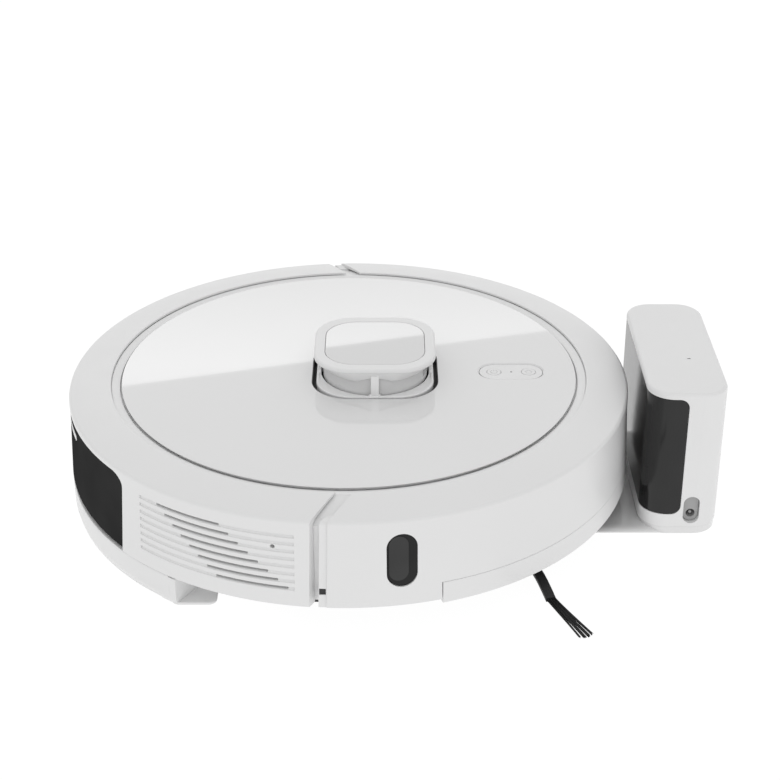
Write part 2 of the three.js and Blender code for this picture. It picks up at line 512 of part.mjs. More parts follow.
function makeDock() {
  const { x0, x1, half, top } = DOCK;
  const outer = join(raise(dockOutline(0), 5.3, top - 1.2, 5), raise(dockOutline(1.2), 5.3, top, 5));
  const inner = raise(dockOutline(4.2), 0, top - 3, 5);
  const { top: pTop, bottom: pBottom, depth } = DOCK_PANEL;
  // the dark panel wraps the face towards the robot and both front corners
  const panelRegion = pushY(rounded(x0 - 20, depth, pBottom, pTop, 6), -100, 100, 4);
  const skin = cut(raise(dockOutline(-1), 0, top, 5), raise(dockOutline(2), 0, top, 5));
  const { x: inletX, low, high, width } = DOCK_INLET;
  const inlet = pushY(rounded(inletX - width / 2, inletX + width / 2, low, high, width / 2 - 0.01), -80, -half + 5, 6);
  const slit = block(208.6, 212.6, -17.8, -16, 90, 110);
  part("dock_shell", cut(outer, inner, panelRegion.intersect(skin), inlet, slit), MAT.satinWhite);
  const panelInset = pushY(rounded(x0 - 20, depth - 0.4, pBottom + 0.4, pTop - 0.4, 5.6), -100, 100, 4);
  const panelSkin = cut(raise(dockOutline(0.1), 0, top, 5), raise(dockOutline(1.6), 0, top, 5));
  part("dock_panel", panelSkin.intersect(panelInset), MAT.smoked);
  const tongue = raise(rounded(PLATE.x0, 190, -half + 3, half - 3, 10), 0, PLATE.top, 5);
  const heel = raise(rounded(176, x1 - 3, -half + 3, half - 3, 12), 0, 5, 5);
  const { x: contactX, y: contactY, pin } = CONTACT;
  const bosses = SIDES.map(({ sign }) => post(contactX, contactY * sign, 6, 0, 6, 20));
  const bores = SIDES.map(({ sign }) => post(contactX, contactY * sign, pin + GAP, 1.5, 20, 16));
  part("dock_base", cut(join(tongue, heel, ...bosses), ...bores), MAT.satinWhite);
  for (const { name, sign } of SIDES) {
    part(`dock_contact_${name}`, post(contactX, contactY * sign, pin, 3.6, PAN_Z - 1, 16), MAT.metal);
  }
  const jackTop = pushY(rounded(inletX - 4.6, inletX + 4.6, low + 0.4, high - 0.4, 4.5), -half + 3, -half + 12, 6);
  const bore = rod(inletX, 13.4, 2.9, -80, -half + 10, 16);
  part("dock_power_inlet", join(cut(jackTop, bore), rod(inletX, 13.4, 0.9, -half + 4.4, -half + 11, 10)), MAT.greyPlastic);
  part("dock_light", block(208.95, 212.25, -17.45, -16.35, top - 6, top - 0.3), MAT.glossWhite);
}

makeShell();
makeFrame();
makeLid();
makeTurret();
makeInside();
makeMainBrush();
makeSideBrush();
SIDES.forEach(makeWheel);
makeCaster();
makeTank();
makeMop();
makeDock();

const group = new THREE.Group();
robot.position.x = -ORIGIN_X;
group.add(robot);

export default group;
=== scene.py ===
"""Looks of the robotic floor cleaner and its charging dock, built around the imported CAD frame.

Shapes are written in millimetres in the robot's own axes: its centre is x = y = 0, +X points to the dock,
+Z is up and the floor is z = 0. The CAD frame is in metres and has the robot's axis at AXIS_X.
"""

import json
import math
import random

import bmesh
import bpy
from mathutils import Matrix, Vector


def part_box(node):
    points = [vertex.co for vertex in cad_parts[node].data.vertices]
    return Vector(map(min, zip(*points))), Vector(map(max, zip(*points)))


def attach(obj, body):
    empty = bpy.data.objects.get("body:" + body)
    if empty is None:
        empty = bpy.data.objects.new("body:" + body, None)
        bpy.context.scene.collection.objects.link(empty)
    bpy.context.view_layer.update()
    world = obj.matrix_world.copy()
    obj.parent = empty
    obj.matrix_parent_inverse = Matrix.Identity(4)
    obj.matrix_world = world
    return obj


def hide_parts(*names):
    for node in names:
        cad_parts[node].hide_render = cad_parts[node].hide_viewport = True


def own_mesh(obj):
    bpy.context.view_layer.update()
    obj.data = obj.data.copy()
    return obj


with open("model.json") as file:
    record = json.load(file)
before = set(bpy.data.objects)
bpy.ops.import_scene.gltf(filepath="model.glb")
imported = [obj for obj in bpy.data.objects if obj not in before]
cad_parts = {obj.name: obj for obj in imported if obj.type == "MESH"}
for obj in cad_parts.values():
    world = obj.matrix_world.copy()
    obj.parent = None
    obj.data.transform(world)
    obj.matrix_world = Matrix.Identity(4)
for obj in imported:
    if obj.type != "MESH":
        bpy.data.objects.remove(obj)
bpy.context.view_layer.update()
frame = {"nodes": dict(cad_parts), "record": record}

MM = 0.001
lid_low, lid_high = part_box("top_lid")
AXIS_X = (lid_low[0] + lid_high[0]) / 2

# ---- sizes that follow the CAD model (mm) ----
BODY_R = 175.0
SKIRT_R = 177.2
TAPER_Z = 70.0
WALL_IN_R = 171.2
WALL_BOTTOM = 24.0
LID_R = 142.4
LID_TOP = 81.3
RING_IN_R = 148.9
SEAM_SLOPE = 0.54
BUMPER_SEAM = (-8.4, 173.6)
REAR_SEAM = (-18.1, 172.8)
STRIP_LOW, STRIP_HIGH, STRIP_ANGLE = 21.2, 35.1, 72.0
WINDOW_HALF, WINDOW_TOP = 119.2, 75.2
PILL_X, PILL_Y, PILL_L, PILL_W = 102.0, -1.2, 42.3, 22.6
BUTTONS = {"power_button": 91.3, "home_button": 113.1}
BUTTON_R = 4.4
TURRET_X, TURRET_Y = 16.3, 1.0
TURRET_TOP = 100.4
SIDE_BRUSH = (103.0, -99.0)
ROLLER_X, ROLLER_Z = -6.0, 22.5
WHEEL_X, WHEEL_R = -2.0, 35.0
DOCK_X0, DOCK_X1, DOCK_HALF, DOCK_TOP, DOCK_CORNER = 180.5, 229.0, 64.0, 98.0, 16.0
SENSOR_ANGLE, SENSOR_W, SENSOR_LOW, SENSOR_HIGH = -79.55, 17.5, 36.1, 69.7

# ---- sizes of the finer shapes (mm and degrees) ----
VENT_ROWS, VENT_TOP, VENT_PITCH, VENT_SPAN = 8, 68.5, 4.75, (-132, -99)
SLOT_START, SLOT_STEP, SLOT_SPAN = -127.6, 1.9, 14.1
BLOCK_ANGLE = 38
LIP_BACK = -101
TUFT_START, TUFT_LENGTH, TUFT_ANGLE, TUFT_STRANDS = 45.5, 39.8, -70.8, 170
CASTER_AT = (106, 0, 13)
PAN_SCREWS = ((20, 150), (-20, 150), (50, 152), (75, 150), (-82, 150), (103, 150), (-103, 150))
CONTACT_X, CONTACT_Y = 149, 19
FRAME_ORIGIN = (-AXIS_X / MM, 0)  # the CAD frame's origin in the robot's axes
SIDES = (("left", 1), ("right", -1))


# ---- materials ----
def nodes_of(material):
    material.use_nodes = True
    tree = material.node_tree
    return tree, tree.nodes["Principled BSDF"]


def noise(tree, scale, detail):
    place = tree.nodes.new("ShaderNodeTexCoord")
    texture = tree.nodes.new("ShaderNodeTexNoise")
    texture.inputs["Scale"].default_value = scale
    texture.inputs["Detail"].default_value = detail
    tree.links.new(place.outputs["Object"], texture.inputs["Vector"])
    return texture


def ramp(tree, source, low, high, start=0.3, end=0.7):
    node = tree.nodes.new("ShaderNodeValToRGB")
    node.color_ramp.elements[0].position = start
    node.color_ramp.elements[1].position = end
    node.color_ramp.elements[0].color = low
    node.color_ramp.elements[1].color = high
    tree.links.new(source, node.inputs["Fac"])
    return node.outputs["Color"]


def bump(tree, shader, height, strength, distance):
    node = tree.nodes.new("ShaderNodeBump")
    node.inputs["Strength"].default_value = strength
    node.inputs["Distance"].default_value = distance
    tree.links.new(height, node.inputs["Height"])
    tree.links.new(node.outputs["Normal"], shader.inputs["Normal"])


def grey(value):
    return (value, value, value, 1.0)


def plastic(name, color, roughness, grain_strength=0.08, drift=0.03, coat=0.0):
    """Moulded plastic: a faint colour drift, uneven gloss and the fine grain of the mould."""
    material = bpy.data.materials.new(name)
    tree, shader = nodes_of(material)
    low = tuple(c * (1 - drift) for c in color[:3]) + (1,)
    high = tuple(min(1, c * (1 + drift)) for c in color[:3]) + (1,)
    broad = noise(tree, 18.0, 2.0)
    tree.links.new(ramp(tree, broad.outputs["Fac"], low, high), shader.inputs["Base Color"])
    handled = noise(tree, 60.0, 4.0)
    rough = ramp(tree, handled.outputs["Fac"], grey(roughness * 0.85), grey(min(1, roughness * 1.15)))
    tree.links.new(rough, shader.inputs["Roughness"])
    shader.inputs["Coat Weight"].default_value = coat
    shader.inputs["Coat Roughness"].default_value = 0.015
    bump(tree, shader, noise(tree, 2500.0, 2.0).outputs["Fac"], grain_strength, 0.00005)
    return material


def rubber(name, value):
    material = bpy.data.materials.new(name)
    tree, shader = nodes_of(material)
    dusty = ramp(tree, noise(tree, 90.0, 5.0).outputs["Fac"], grey(value * 0.8), grey(value * 1.5))
    tree.links.new(dusty, shader.inputs["Base Color"])
    shader.inputs["Roughness"].default_value = 0.62
    shader.inputs["Specular IOR Level"].default_value = 0.35
    bump(tree, shader, noise(tree, 1500.0, 4.0).outputs["Fac"], 0.25, 0.0001)
    return material


def metal(name, value, roughness):
    material = bpy.data.materials.new(name)
    tree, shader = nodes_of(material)
    shader.inputs["Metallic"].default_value = 1.0
    tone = ramp(tree, noise(tree, 150.0, 3.0).outputs["Fac"], grey(value * 0.9), grey(value * 1.05))
    tree.links.new(tone, shader.inputs["Base Color"])
    shader.inputs["Roughness"].default_value = roughness
    bump(tree, shader, noise(tree, 3000.0, 2.0).outputs["Fac"], 0.1, 0.00003)
    return material


def smoked(name, value=0.030, shine=0.06):
    """Dark polished plastic that hides what is behind it."""
    material = bpy.data.materials.new(name)
    tree, shader = nodes_of(material)
    tone = ramp(tree, noise(tree, 25.0, 2.0).outputs["Fac"], grey(value * 0.85), grey(value * 1.15))
    tree.links.new(tone, shader.inputs["Base Color"])
    haze = ramp(tree, noise(tree, 200.0, 3.0).outputs["Fac"], grey(0.10), grey(0.16))
    tree.links.new(haze, shader.inputs["Roughness"])
    shader.inputs["Specular IOR Level"].default_value = shine
    return material


def cloth(name, color):
    """Microfibre: looped tufts in rows, darker in the hollows of the weave and lighter on the raised loops,
    which is painted shade.
    """
    material = bpy.data.materials.new(name)
    tree, shader = nodes_of(material)
    place = tree.nodes.new("ShaderNodeTexCoord")
    loops = tree.nodes.new("ShaderNodeTexVoronoi")
    loops.inputs["Scale"].default_value = 620.0
    tree.links.new(place.outputs["Object"], loops.inputs["Vector"])
    rows = tree.nodes.new("ShaderNodeTexWave")
    rows.inputs["Scale"].default_value = 55.0
    rows.inputs["Distortion"].default_value = 1.5
    rows.bands_direction = "Y"
    tree.links.new(place.outputs["Object"], rows.inputs["Vector"])
    mix = tree.nodes.new("ShaderNodeMath")
    mix.operation = "MULTIPLY_ADD"
    mix.inputs[1].default_value = 0.6
    tree.links.new(rows.outputs["Fac"], mix.inputs[0])
    tree.links.new(loops.outputs["Distance"], mix.inputs[2])
    # painted shade: the colour follows the bump height, darker where the weave is low
    dark = tuple(c * 0.6 for c in color) + (1,)
    light = tuple(color) + (1,)
    tree.links.new(ramp(tree, mix.outputs[0], dark, light, 0.0, 0.9), shader.inputs["Base Color"])
    shader.inputs["Roughness"].default_value = 0.95
    shader.inputs["Sheen Weight"].default_value = 0.4
    bump(tree, shader, mix.outputs[0], 0.8, 0.0006)
    return material


def circuit(name):
    material = bpy.data.materials.new(name)
    tree, shader = nodes_of(material)
    place = tree.nodes.new("ShaderNodeTexCoord")
    tracks = tree.nodes.new("ShaderNodeTexBrick")
    tracks.inputs["Scale"].default_value = 160.0
    tracks.inputs["Color1"].default_value = (0.012, 0.09, 0.035, 1)
    tracks.inputs["Color2"].default_value = (0.016, 0.12, 0.045, 1)
    tracks.inputs["Mortar"].default_value = (0.05, 0.22, 0.09, 1)
    tree.links.new(place.outputs["Object"], tracks.inputs["Vector"])
    tree.links.new(tracks.outputs["Color"], shader.inputs["Base Color"])
    shader.inputs["Roughness"].default_value = 0.4
    return material


MATERIALS = {
    "satin_white": plastic("satin_white_plastic", grey(0.78), 0.33, grain_strength=0.05, drift=0.006),
    "gloss_white": plastic("gloss_white_plastic", grey(0.76), 0.025, grain_strength=0.0, drift=0.004,
                           coat=0.6),
    "dark_plastic": plastic("dark_textured_plastic", grey(0.022), 0.55, grain_strength=0.35),
    "grey_plastic": plastic("grey_plastic", grey(0.38), 0.42, grain_strength=0.12),
    "smoked_plastic": smoked("smoked_plastic"),
    "rubber": rubber("black_rubber", 0.022),
    "bristle": plastic("black_nylon", grey(0.006), 0.38, grain_strength=0.0, drift=0.2),
    "cloth": cloth("microfibre", (0.60, 0.63, 0.68)),
    "metal": metal("plated_metal", 0.72, 0.22),
    "board": circuit("solder_mask"),
    "cell_wrap": plastic("shrink_wrap", (0.02, 0.05, 0.13, 1), 0.3, grain_strength=0.1, drift=0.1),
}
# painted shade: a darker copy of the gloss white, so the turret's top panel reads as dark as the lid's near
# half
PANEL_GLOSS_PAINTED_SHADE = plastic("panel_gloss", grey(0.67), 0.025, grain_strength=0.0, drift=0.004, coat=0.9)
LENS = smoked("lens_tint", 0.06)
WINDOW_TINT = smoked("window_tint", 0.032, 0.0)
DOCK_TINT = smoked("dock_tint", 0.016, 0.35)
ICON = plastic("icon_grey", grey(0.58), 0.3, drift=0.02)
# painted light: a whiter copy of the white plastic that lightens the turret cage, neck and posts where they
# sit in shade under the cap
CAGE_WHITE_PAINTED_LIGHT = plastic("white_plastic_painted_light", grey(0.93), 0.33, grain_strength=0.05, drift=0.004)
# painted light: the drum's grey raised well above the grey plastic to lighten the drum where it sits in
# shade under the cap
DRUM_GREY_PAINTED_LIGHT = plastic("drum_grey_painted_light", grey(0.74), 0.3, drift=0.01)
LIGHT_PIPE = plastic("light_pipe", grey(0.25), 0.2, drift=0.02)


# ---- mesh tools ----
def in_frame(point):
    x, y, z = point
    return (x * MM + AXIS_X, y * MM, z * MM)


def mesh_from(name, points, faces):
    mesh = bpy.data.meshes.new(name)
    mesh.from_pydata([in_frame(p) for p in points], [], faces)
    shaped = bmesh.new()
    shaped.from_mesh(mesh)
    bmesh.ops.recalc_face_normals(shaped, faces=shaped.faces)
    shaped.to_mesh(mesh)
    shaped.free()
    obj = bpy.data.objects.new(name, mesh)
    bpy.context.scene.collection.objects.link(obj)
    return obj


def discard(obj):
    mesh = obj.data
    bpy.data.objects.remove(obj)
    bpy.data.meshes.remove(mesh)


def apply_modifiers(obj):
    graph = bpy.context.evaluated_depsgraph_get()
    shaped = bpy.data.meshes.new_from_object(obj.evaluated_get(graph))
    old = obj.data
    obj.modifiers.clear()
    obj.data = shaped
    bpy.data.meshes.remove(old)
    return obj


def combine(obj, operation, *others):
    for other in others:
        modifier = obj.modifiers.new("combine", "BOOLEAN")
        modifier.operation = operation
        modifier.solver = "MANIFOLD"
        modifier.object = other
        apply_modifiers(obj)
        discard(other)
    return obj


def carve(obj, *cutters):
    return combine(obj, "DIFFERENCE", *cutters)


def fuse(obj, *others):
    return combine(obj, "UNION", *others)


def keep(obj, zone):
    return combine(obj, "INTERSECT", zone)


def soften(obj, width, segments=2, angle=35):
    """Rounds every edge sharper than the angle."""
    shaped = bmesh.new()
    shaped.from_mesh(obj.data)
    bmesh.ops.remove_doubles(shaped, verts=shaped.verts, dist=0.00002)
    shaped.to_mesh(obj.data)
    shaped.free()
    modifier = obj.modifiers.new("soften", "BEVEL")
    modifier.width = width * MM
    modifier.segments = segments
    modifier.limit_method = "ANGLE"
    modifier.angle_limit = math.radians(angle)
    modifier.use_clamp_overlap = True
    return apply_modifiers(obj)


def dress(obj, slot, body, stands_for=(), material=None, smooth=30):
    obj.data.materials.clear()
    obj.data.materials.append(material or MATERIALS[slot])
    for face in obj.data.polygons:
        face.use_smooth = True
        face.material_index = 0
    obj.data.set_sharp_from_angle(angle=math.radians(smooth))
    if smooth < 60:
        flat = obj.modifiers.new("flat_faces_lead", "WEIGHTED_NORMAL")
        flat.weight = 90
        flat.keep_sharp = True
        apply_modifiers(obj)
    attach(obj, body)
    for node in stands_for:
        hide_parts(node)
    return obj


def polar(r, angle):
    return r * math.cos(math.radians(angle)), r * math.sin(math.radians(angle))


def arc(cx, cy, r, start, end, steps):
    """Points of an arc, both ends included."""
    return [
        (cx + r * math.cos(math.radians(start + (end - start) * i / steps)),
         cy + r * math.sin(math.radians(start + (end - start) * i / steps)))
        for i in range(steps + 1)
    ]


def sweep(name, profile, start=-180.0, end=180.0, step=1.0):
    """Turns a closed (radius, z) profile about the robot's axis between two angles."""
    whole = abs(end - start - 360) < 1e-6
    turns = max(2, round((end - start) / step))
    count = len(profile)
    points = []
    for i in range(turns if whole else turns + 1):
        angle = start + (end - start) * i / turns
        points += [(*polar(r, angle), z) for r, z in profile]
    faces = []
    for i in range(turns):
        a, b = i * count, ((i + 1) % turns if whole else i + 1) * count
        faces += [(a + k, b + k, b + (k + 1) % count, a + (k + 1) % count) for k in range(count)]
    if not whole:
        faces += [tuple(range(count)), tuple(turns * count + k for k in range(count))]
    return mesh_from(name, points, faces)


def spin(name, profile, center=(0, 0), sides=64):
    """Turns an open (radius, z) profile that starts and ends on the axis."""
    inner = profile[1:-1]
    points = [(center[0], center[1], profile[0][1]), (center[0], center[1], profile[-1][1])]
    for i in range(sides):
        a = 2 * math.pi * i / sides
        points += [(center[0] + r * math.cos(a), center[1] + r * math.sin(a), z) for r, z in inner]
    count = len(inner)
    faces = []
    for i in range(sides):
        a, b = 2 + i * count, 2 + (i + 1) % sides * count
        faces.append((0, b, a))
        faces += [(a + k, b + k, b + k + 1, a + k + 1) for k in range(count - 1)]
        faces.append((1, a + count - 1, b + count - 1))
    return mesh_from(name, points, faces)


def loft(name, loops):
    """Joins loops of equally many points; the first and last are capped."""
    count = len(loops[0])
    points = [p for one in loops for p in one]
    faces = []
    for i in range(len(loops) - 1):
        a, b = i * count, (i + 1) * count
        faces += [(a + k, a + (k + 1) % count, b + (k + 1) % count, b + k) for k in range(count)]
    faces += [tuple(range(count)), tuple((len(loops) - 1) * count + k for k in range(count))]
    return mesh_from(name, points, faces)


def rounded(x0, x1, y0, y1, r, steps=10):
    """A rectangle with round corners, as plan points."""
    r = min(r, (x1 - x0) / 2 - 0.001, (y1 - y0) / 2 - 0.001)
    return (
        arc(x1 - r, y0 + r, r, -90, 0, steps) + arc(x1 - r, y1 - r, r, 0, 90, steps)
        + arc(x0 + r, y1 - r, r, 90, 180, steps) + arc(x0 + r, y0 + r, r, 180, 270, steps)
    )


def at_height(outline, z):
    return [(x, y, z) for x, y in outline]


def raised(name, outline, z0, z1):
    return loft(name, [at_height(outline, z0), at_height(outline, z1)])


def pushed_x(name, outline, x0, x1):
    """An outline of (y, z) points pushed along X."""
    return loft(name, [[(x0, y, z) for y, z in outline], [(x1, y, z) for y, z in outline]])


def pushed_y(name, outline, y0, y1):
    """An outline of (x, z) points pushed along Y."""
    return loft(name, [[(x, y0, z) for x, z in outline], [(x, y1, z) for x, z in outline]])


def quarter(z, r, step):
    """(height, inset) pairs of a rounded upper edge that starts at height z."""
    angles = [math.radians(a) for a in range(0, 91, step)]
    return [(z + r * math.sin(a), r * (1 - math.cos(a))) for a in angles]


def mirrored(profile):
    """A profile with its mirror image across z = 0 added in reverse order."""
    return profile + [(r, -z) for r, z in reversed(profile)]


def tube(start, sides, stations):
    """The faces of a capped tube whose rings of points follow each other from start."""
    faces = []
    for ring in range(start, start + (stations - 1) * sides, sides):
        for s in range(sides):
            t = (s + 1) % sides
            faces.append((ring + s, ring + t, ring + sides + t, ring + sides + s))
    last = start + (stations - 1) * sides
    return faces + [tuple(range(start, start + sides)), tuple(range(last, last + sides))]


def box(name, x0, x1, y0, y1, z0, z1):
    return raised(name, [(x0, y0), (x1, y0), (x1, y1), (x0, y1)], z0, z1)


def cushion(name, outline_at, z0, z1, edge, steps=4):
    """A plate whose top and bottom edges are rounded; outline_at(inset) gives its plan."""
    loops = []
    for i in range(steps + 1):
        a = math.radians(90 * i / steps)
        loops.append(at_height(outline_at(edge * (1 - math.sin(a))), z0 + edge * (1 - math.cos(a))))
    for i in range(steps + 1):
        a = math.radians(90 * i / steps)
        loops.append(at_height(outline_at(edge * (1 - math.cos(a))), z1 - edge * (1 - math.sin(a))))
    return loft(name, loops)


def turn_about(obj, x, y, degrees):
    pivot = Vector(in_frame((x, y, 0)))
    turn = Matrix.Rotation(math.radians(degrees), 4, "Z")
    obj.data.transform(Matrix.Translation(pivot) @ turn @ Matrix.Translation(-pivot))
    return obj


def in_front_of(name, seam, ahead=0.0):
    """A block over everything ahead of a slanting seam, which is alike on both sides of the robot."""
    def at(y):
        return seam[0] + ahead + (seam[1] - y) * SEAM_SLOPE
    plan = [(at(200), -200), (300, -200), (300, 200), (at(200), 200), (at(120), 120), (at(120), -120)]
    return raised(name, plan, -5, 120)


def wall_pill(name, angle, width, low, high, r0, r1, steps=12):
    """A pill-ended bar through the wall, along the radius at an angle."""
    shape = rounded(-width / 2, width / 2, low, high, width / 2, steps)
    obj = loft(name, [[(r0, y, z) for y, z in shape], [(r1, y, z) for y, z in shape]])
    return turn_about(obj, 0, 0, angle)


# ---- shells ----
def wall_r(z, inset=0.0):
    """Outer radius of the wall at a height: it widens towards its bottom edge."""
    return BODY_R + max(0, TAPER_Z - z) / (TAPER_Z - WALL_BOTTOM) * (SKIRT_R - BODY_R) - inset


def ring_top():
    """The gently arched top of the ring, from the outer fillet to its inner edge."""
    return [(172.6, 79.05), (168, 79.95), (163, 80.8), (158, 81.5), (153, 82.05), (149.9, 82.32)]


def shell_profile():
    """The closed outline of the wall and ring, turned for both the bumper and the rear shell."""
    outer = [(172.0, WALL_BOTTOM), (SKIRT_R - 0.6, WALL_BOTTOM)]
    outer += [(SKIRT_R - 0.15, WALL_BOTTOM + 0.2), (SKIRT_R, WALL_BOTTOM + 0.6)]
    outer += [(wall_r(z), z) for z in (40, 55, 65, TAPER_Z, 73)]
    fillet = arc(172.6, 76.6, 2.4, 0, 80, 8)
    lip = [(149.3, 82.35), (149.0, 82.2), (RING_IN_R, 81.9), (RING_IN_R, 81.0), (149.2, 80.9)]
    inside = [(154, 80.6), (160, 79.3), (168, 77.6), (170.6, 76.2), (WALL_IN_R, 74.6)]
    inside += [(WALL_IN_R, WALL_BOTTOM + 0.4)]
    return outer + fillet + ring_top() + lip + inside


def vents(shell):
    """Shallow grooves, each open through the wall along part of its length."""
    for row in range(VENT_ROWS):
        z = VENT_TOP - row * VENT_PITCH
        groove = sweep("groove", arc(wall_r(z) + 0.3, z, 1.3, 0, 315, 7), *VENT_SPAN, 0.75)
        start = SLOT_START + SLOT_STEP * row
        low, high = z - 0.85, z + 0.85
        corners = [(168, low), (178, low), (178, high), (168, high)]
        slot = sweep("slot", corners, start, start + SLOT_SPAN, 0.75)
        carve(shell, groove, slot)


def make_rear_shell():
    shell = sweep("rear_shell_skin", shell_profile())
    carve(shell, in_front_of("front_zone", REAR_SEAM))
    opening = rounded(-WINDOW_HALF, WINDOW_HALF, -30, WINDOW_TOP, 8)
    carve(shell, pushed_x("opening", opening, -200, -100))
    carve(shell, wall_pill("pinhole", -103, 2.8, 59.6, 62.4, 165, 180, 6))
    vents(shell)
    for _, sign in SIDES:
        ledge = sweep("ledge", [(150, WALL_BOTTOM), (173, WALL_BOTTOM), (173, 26.4), (150, 26.4)],
                      105 if sign > 0 else -140, 140 if sign > 0 else -105)
        y0, y1 = sorted((119 * sign, 190 * sign))
        keep(ledge, box("beside", -129, -44.5, y0, y1, 0, 60))
        fuse(shell, ledge)
    soften(shell, 0.3, 2)
    dress(shell, "satin_white", "chassis", ["rear_shell"])
    # painted shade: a dark plug just inside the pinhole stands in for the shade inside the hole
    dress(wall_pill("pinhole_shade_plug", -103, 3.6, 59.2, 62.8, 169.6, 171.0, 6), "dark_plastic", "chassis")


def make_bumper():
    bumper = sweep("bumper_skin", shell_profile())
    keep(bumper, in_front_of("zone", BUMPER_SEAM))
    apron = [(WALL_IN_R, STRIP_LOW + 0.2), (172.9, STRIP_LOW + 0.2), (172.9, 25.5), (WALL_IN_R, 25.5)]
    fuse(bumper, sweep("apron", apron, -STRIP_ANGLE, STRIP_ANGLE))
    edge = [(wall_r(z, 0.9), z) for z in (WALL_BOTTOM, 40, 55, TAPER_Z, 75.5)]
    edge += arc(171.9, 75.8, 2.2, 15, 90, 5) + [(166, 77.6), (166, 76.4), (170.6, 75.4)]
    flange = sweep("flange", edge + [(WALL_IN_R - 0.2, 73), (WALL_IN_R - 0.2, WALL_BOTTOM)])
    keep(flange, in_front_of("flange_zone", BUMPER_SEAM, -5.2))
    carve(flange, in_front_of("flange_rest", BUMPER_SEAM, 1))
    fuse(bumper, flange)
    seat = [(172.9, 10), (180, 10), (180, STRIP_HIGH + 0.3), (172.9, STRIP_HIGH + 0.3)]
    carve(bumper, sweep("seat", seat, -STRIP_ANGLE - 0.12, STRIP_ANGLE + 0.12))
    carve(bumper, wall_pill("pane_hole", SENSOR_ANGLE, SENSOR_W, SENSOR_LOW, SENSOR_HIGH, 165, 180, 16))
    carve(bumper, box("drain", -14.2, -10.4, -178, -160, 32, 36))
    soften(bumper, 0.3, 2)
    dress(bumper, "satin_white", "bumper", ["bumper"])

    # painted shade: a dark plug in the drain hole stands in for the shade inside it
    dress(box("drain_shade_plug", -14.1, -10.5, -174.9, -171.8, 32.1, 35.9), "dark_plastic", "bumper")

    # the fixed channel that closes the seam between the bumper and the rear shell
    floor = [(170.8, 25), (170.8, 73.6), (169.6, 75.2), (167.6, 76.3), (160, 78.3), (154, 79.6),
             (149.3, 80.2), (149.3, 78), (166, 74), (168.5, 72), (168.5, 25)]
    channel = keep(sweep("seam_channel", floor), in_front_of("channel_zone", REAR_SEAM, -5))
    carve(channel, in_front_of("channel_rest", BUMPER_SEAM, 5))
    soften(channel, 0.3, 2)
    dress(channel, "satin_white", "chassis")

    face = [(173.3, STRIP_LOW), (SKIRT_R - 0.7, STRIP_LOW), (SKIRT_R, STRIP_LOW + 0.8)]
    face += [(wall_r(STRIP_HIGH), STRIP_HIGH - 0.3), (wall_r(STRIP_HIGH, 0.3), STRIP_HIGH)]
    face += [(173.3, STRIP_HIGH)]
    strip = sweep("bumper_strip_skin", face, -STRIP_ANGLE + 0.08, STRIP_ANGLE - 0.08)
    soften(strip, 0.25, 2)
    dress(strip, "satin_white", "bumper", ["bumper_strip"])


def make_bumper_springs():
    """Rubber blocks between the fixed wall and the bumper, fixed to the chassis."""
    for side, sign in SIDES:
        angle = BLOCK_ANGLE * sign
        block = box(f"bumper_block_{side}", 165.5, 170.6, -4, 4, 44, 52)
        soften(turn_about(block, 0, 0, angle), 0.6, 2)
        dress(block, "rubber", "chassis", [f"bumper_spring_{side}"])
        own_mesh(block)


def make_sensor_window():
    skin = sweep("pane", [(172.2, 30), (wall_r(30, 0.7), 30), (174.4, 74), (172.2, 74)], -90, -70, 0.5)
    low, high = SENSOR_LOW + 0.25, SENSOR_HIGH - 0.25
    pane = wall_pill("wall_sensor_pane", SENSOR_ANGLE, SENSOR_W - 0.5, low, high, 165, 180, 16)
    soften(keep(pane, skin), 0.3, 3)
    dress(pane, "smoked_plastic", "bumper", ["wall_sensor_window"])
    rim = [(174.4, 36), (wall_r(36, 0.35), 36), (174.95, 70), (173.5, 70)]
    low, high = SENSOR_LOW + 4, SENSOR_HIGH - 1.5
    skin = sweep("lens_skin", rim, -90, -70, 0.5)
    lens = wall_pill("wall_sensor_lens", SENSOR_ANGLE - 0.6, SENSOR_W - 6.5, low, high, 165, 180, 12)
    soften(keep(lens, skin), 0.15, 2)
    dress(lens, "smoked_plastic", "bumper", material=LENS)


def make_deck():
    slope = [(120, 75.7), (164, 75.7), (162, 76.6), (152, 79.4), (149.2, 80.3), (148.5, 80.75),
             (147.8, 80.7), (144.2, 80.1), (143.5, 79.9), (143.3, 79.5), (143.3, 78.0), (120, 78.0)]
    deck = sweep("top_deck_rim", slope)
    dress(deck, "satin_white", "chassis")
    plate = raised("top_deck_plate", arc(0, 0, 120.5, 0, 357, 119), 75.7, 78.0)
    carve(plate, raised("well", turret_plan(79, 78, 24), 60, 90))
    dress(plate, "satin_white", "chassis", ["top_deck"])


# ---- lid, buttons and turret ----
def turret_plan(wx, wy, r, steps=14):
    return rounded(TURRET_X - wx / 2, TURRET_X + wx / 2, TURRET_Y - wy / 2, TURRET_Y + wy / 2, r, steps)


def by_turret(outline):
    """Plan points round the turret's axis, put where the turret is."""
    return [(x + TURRET_X, y + TURRET_Y) for x, y in outline]


def pill_plan(inset):
    return rounded(PILL_X - PILL_L / 2 + inset, PILL_X + PILL_L / 2 - inset,
                   PILL_Y - PILL_W / 2 + inset, PILL_Y + PILL_W / 2 - inset, PILL_W / 2 - inset, 18)


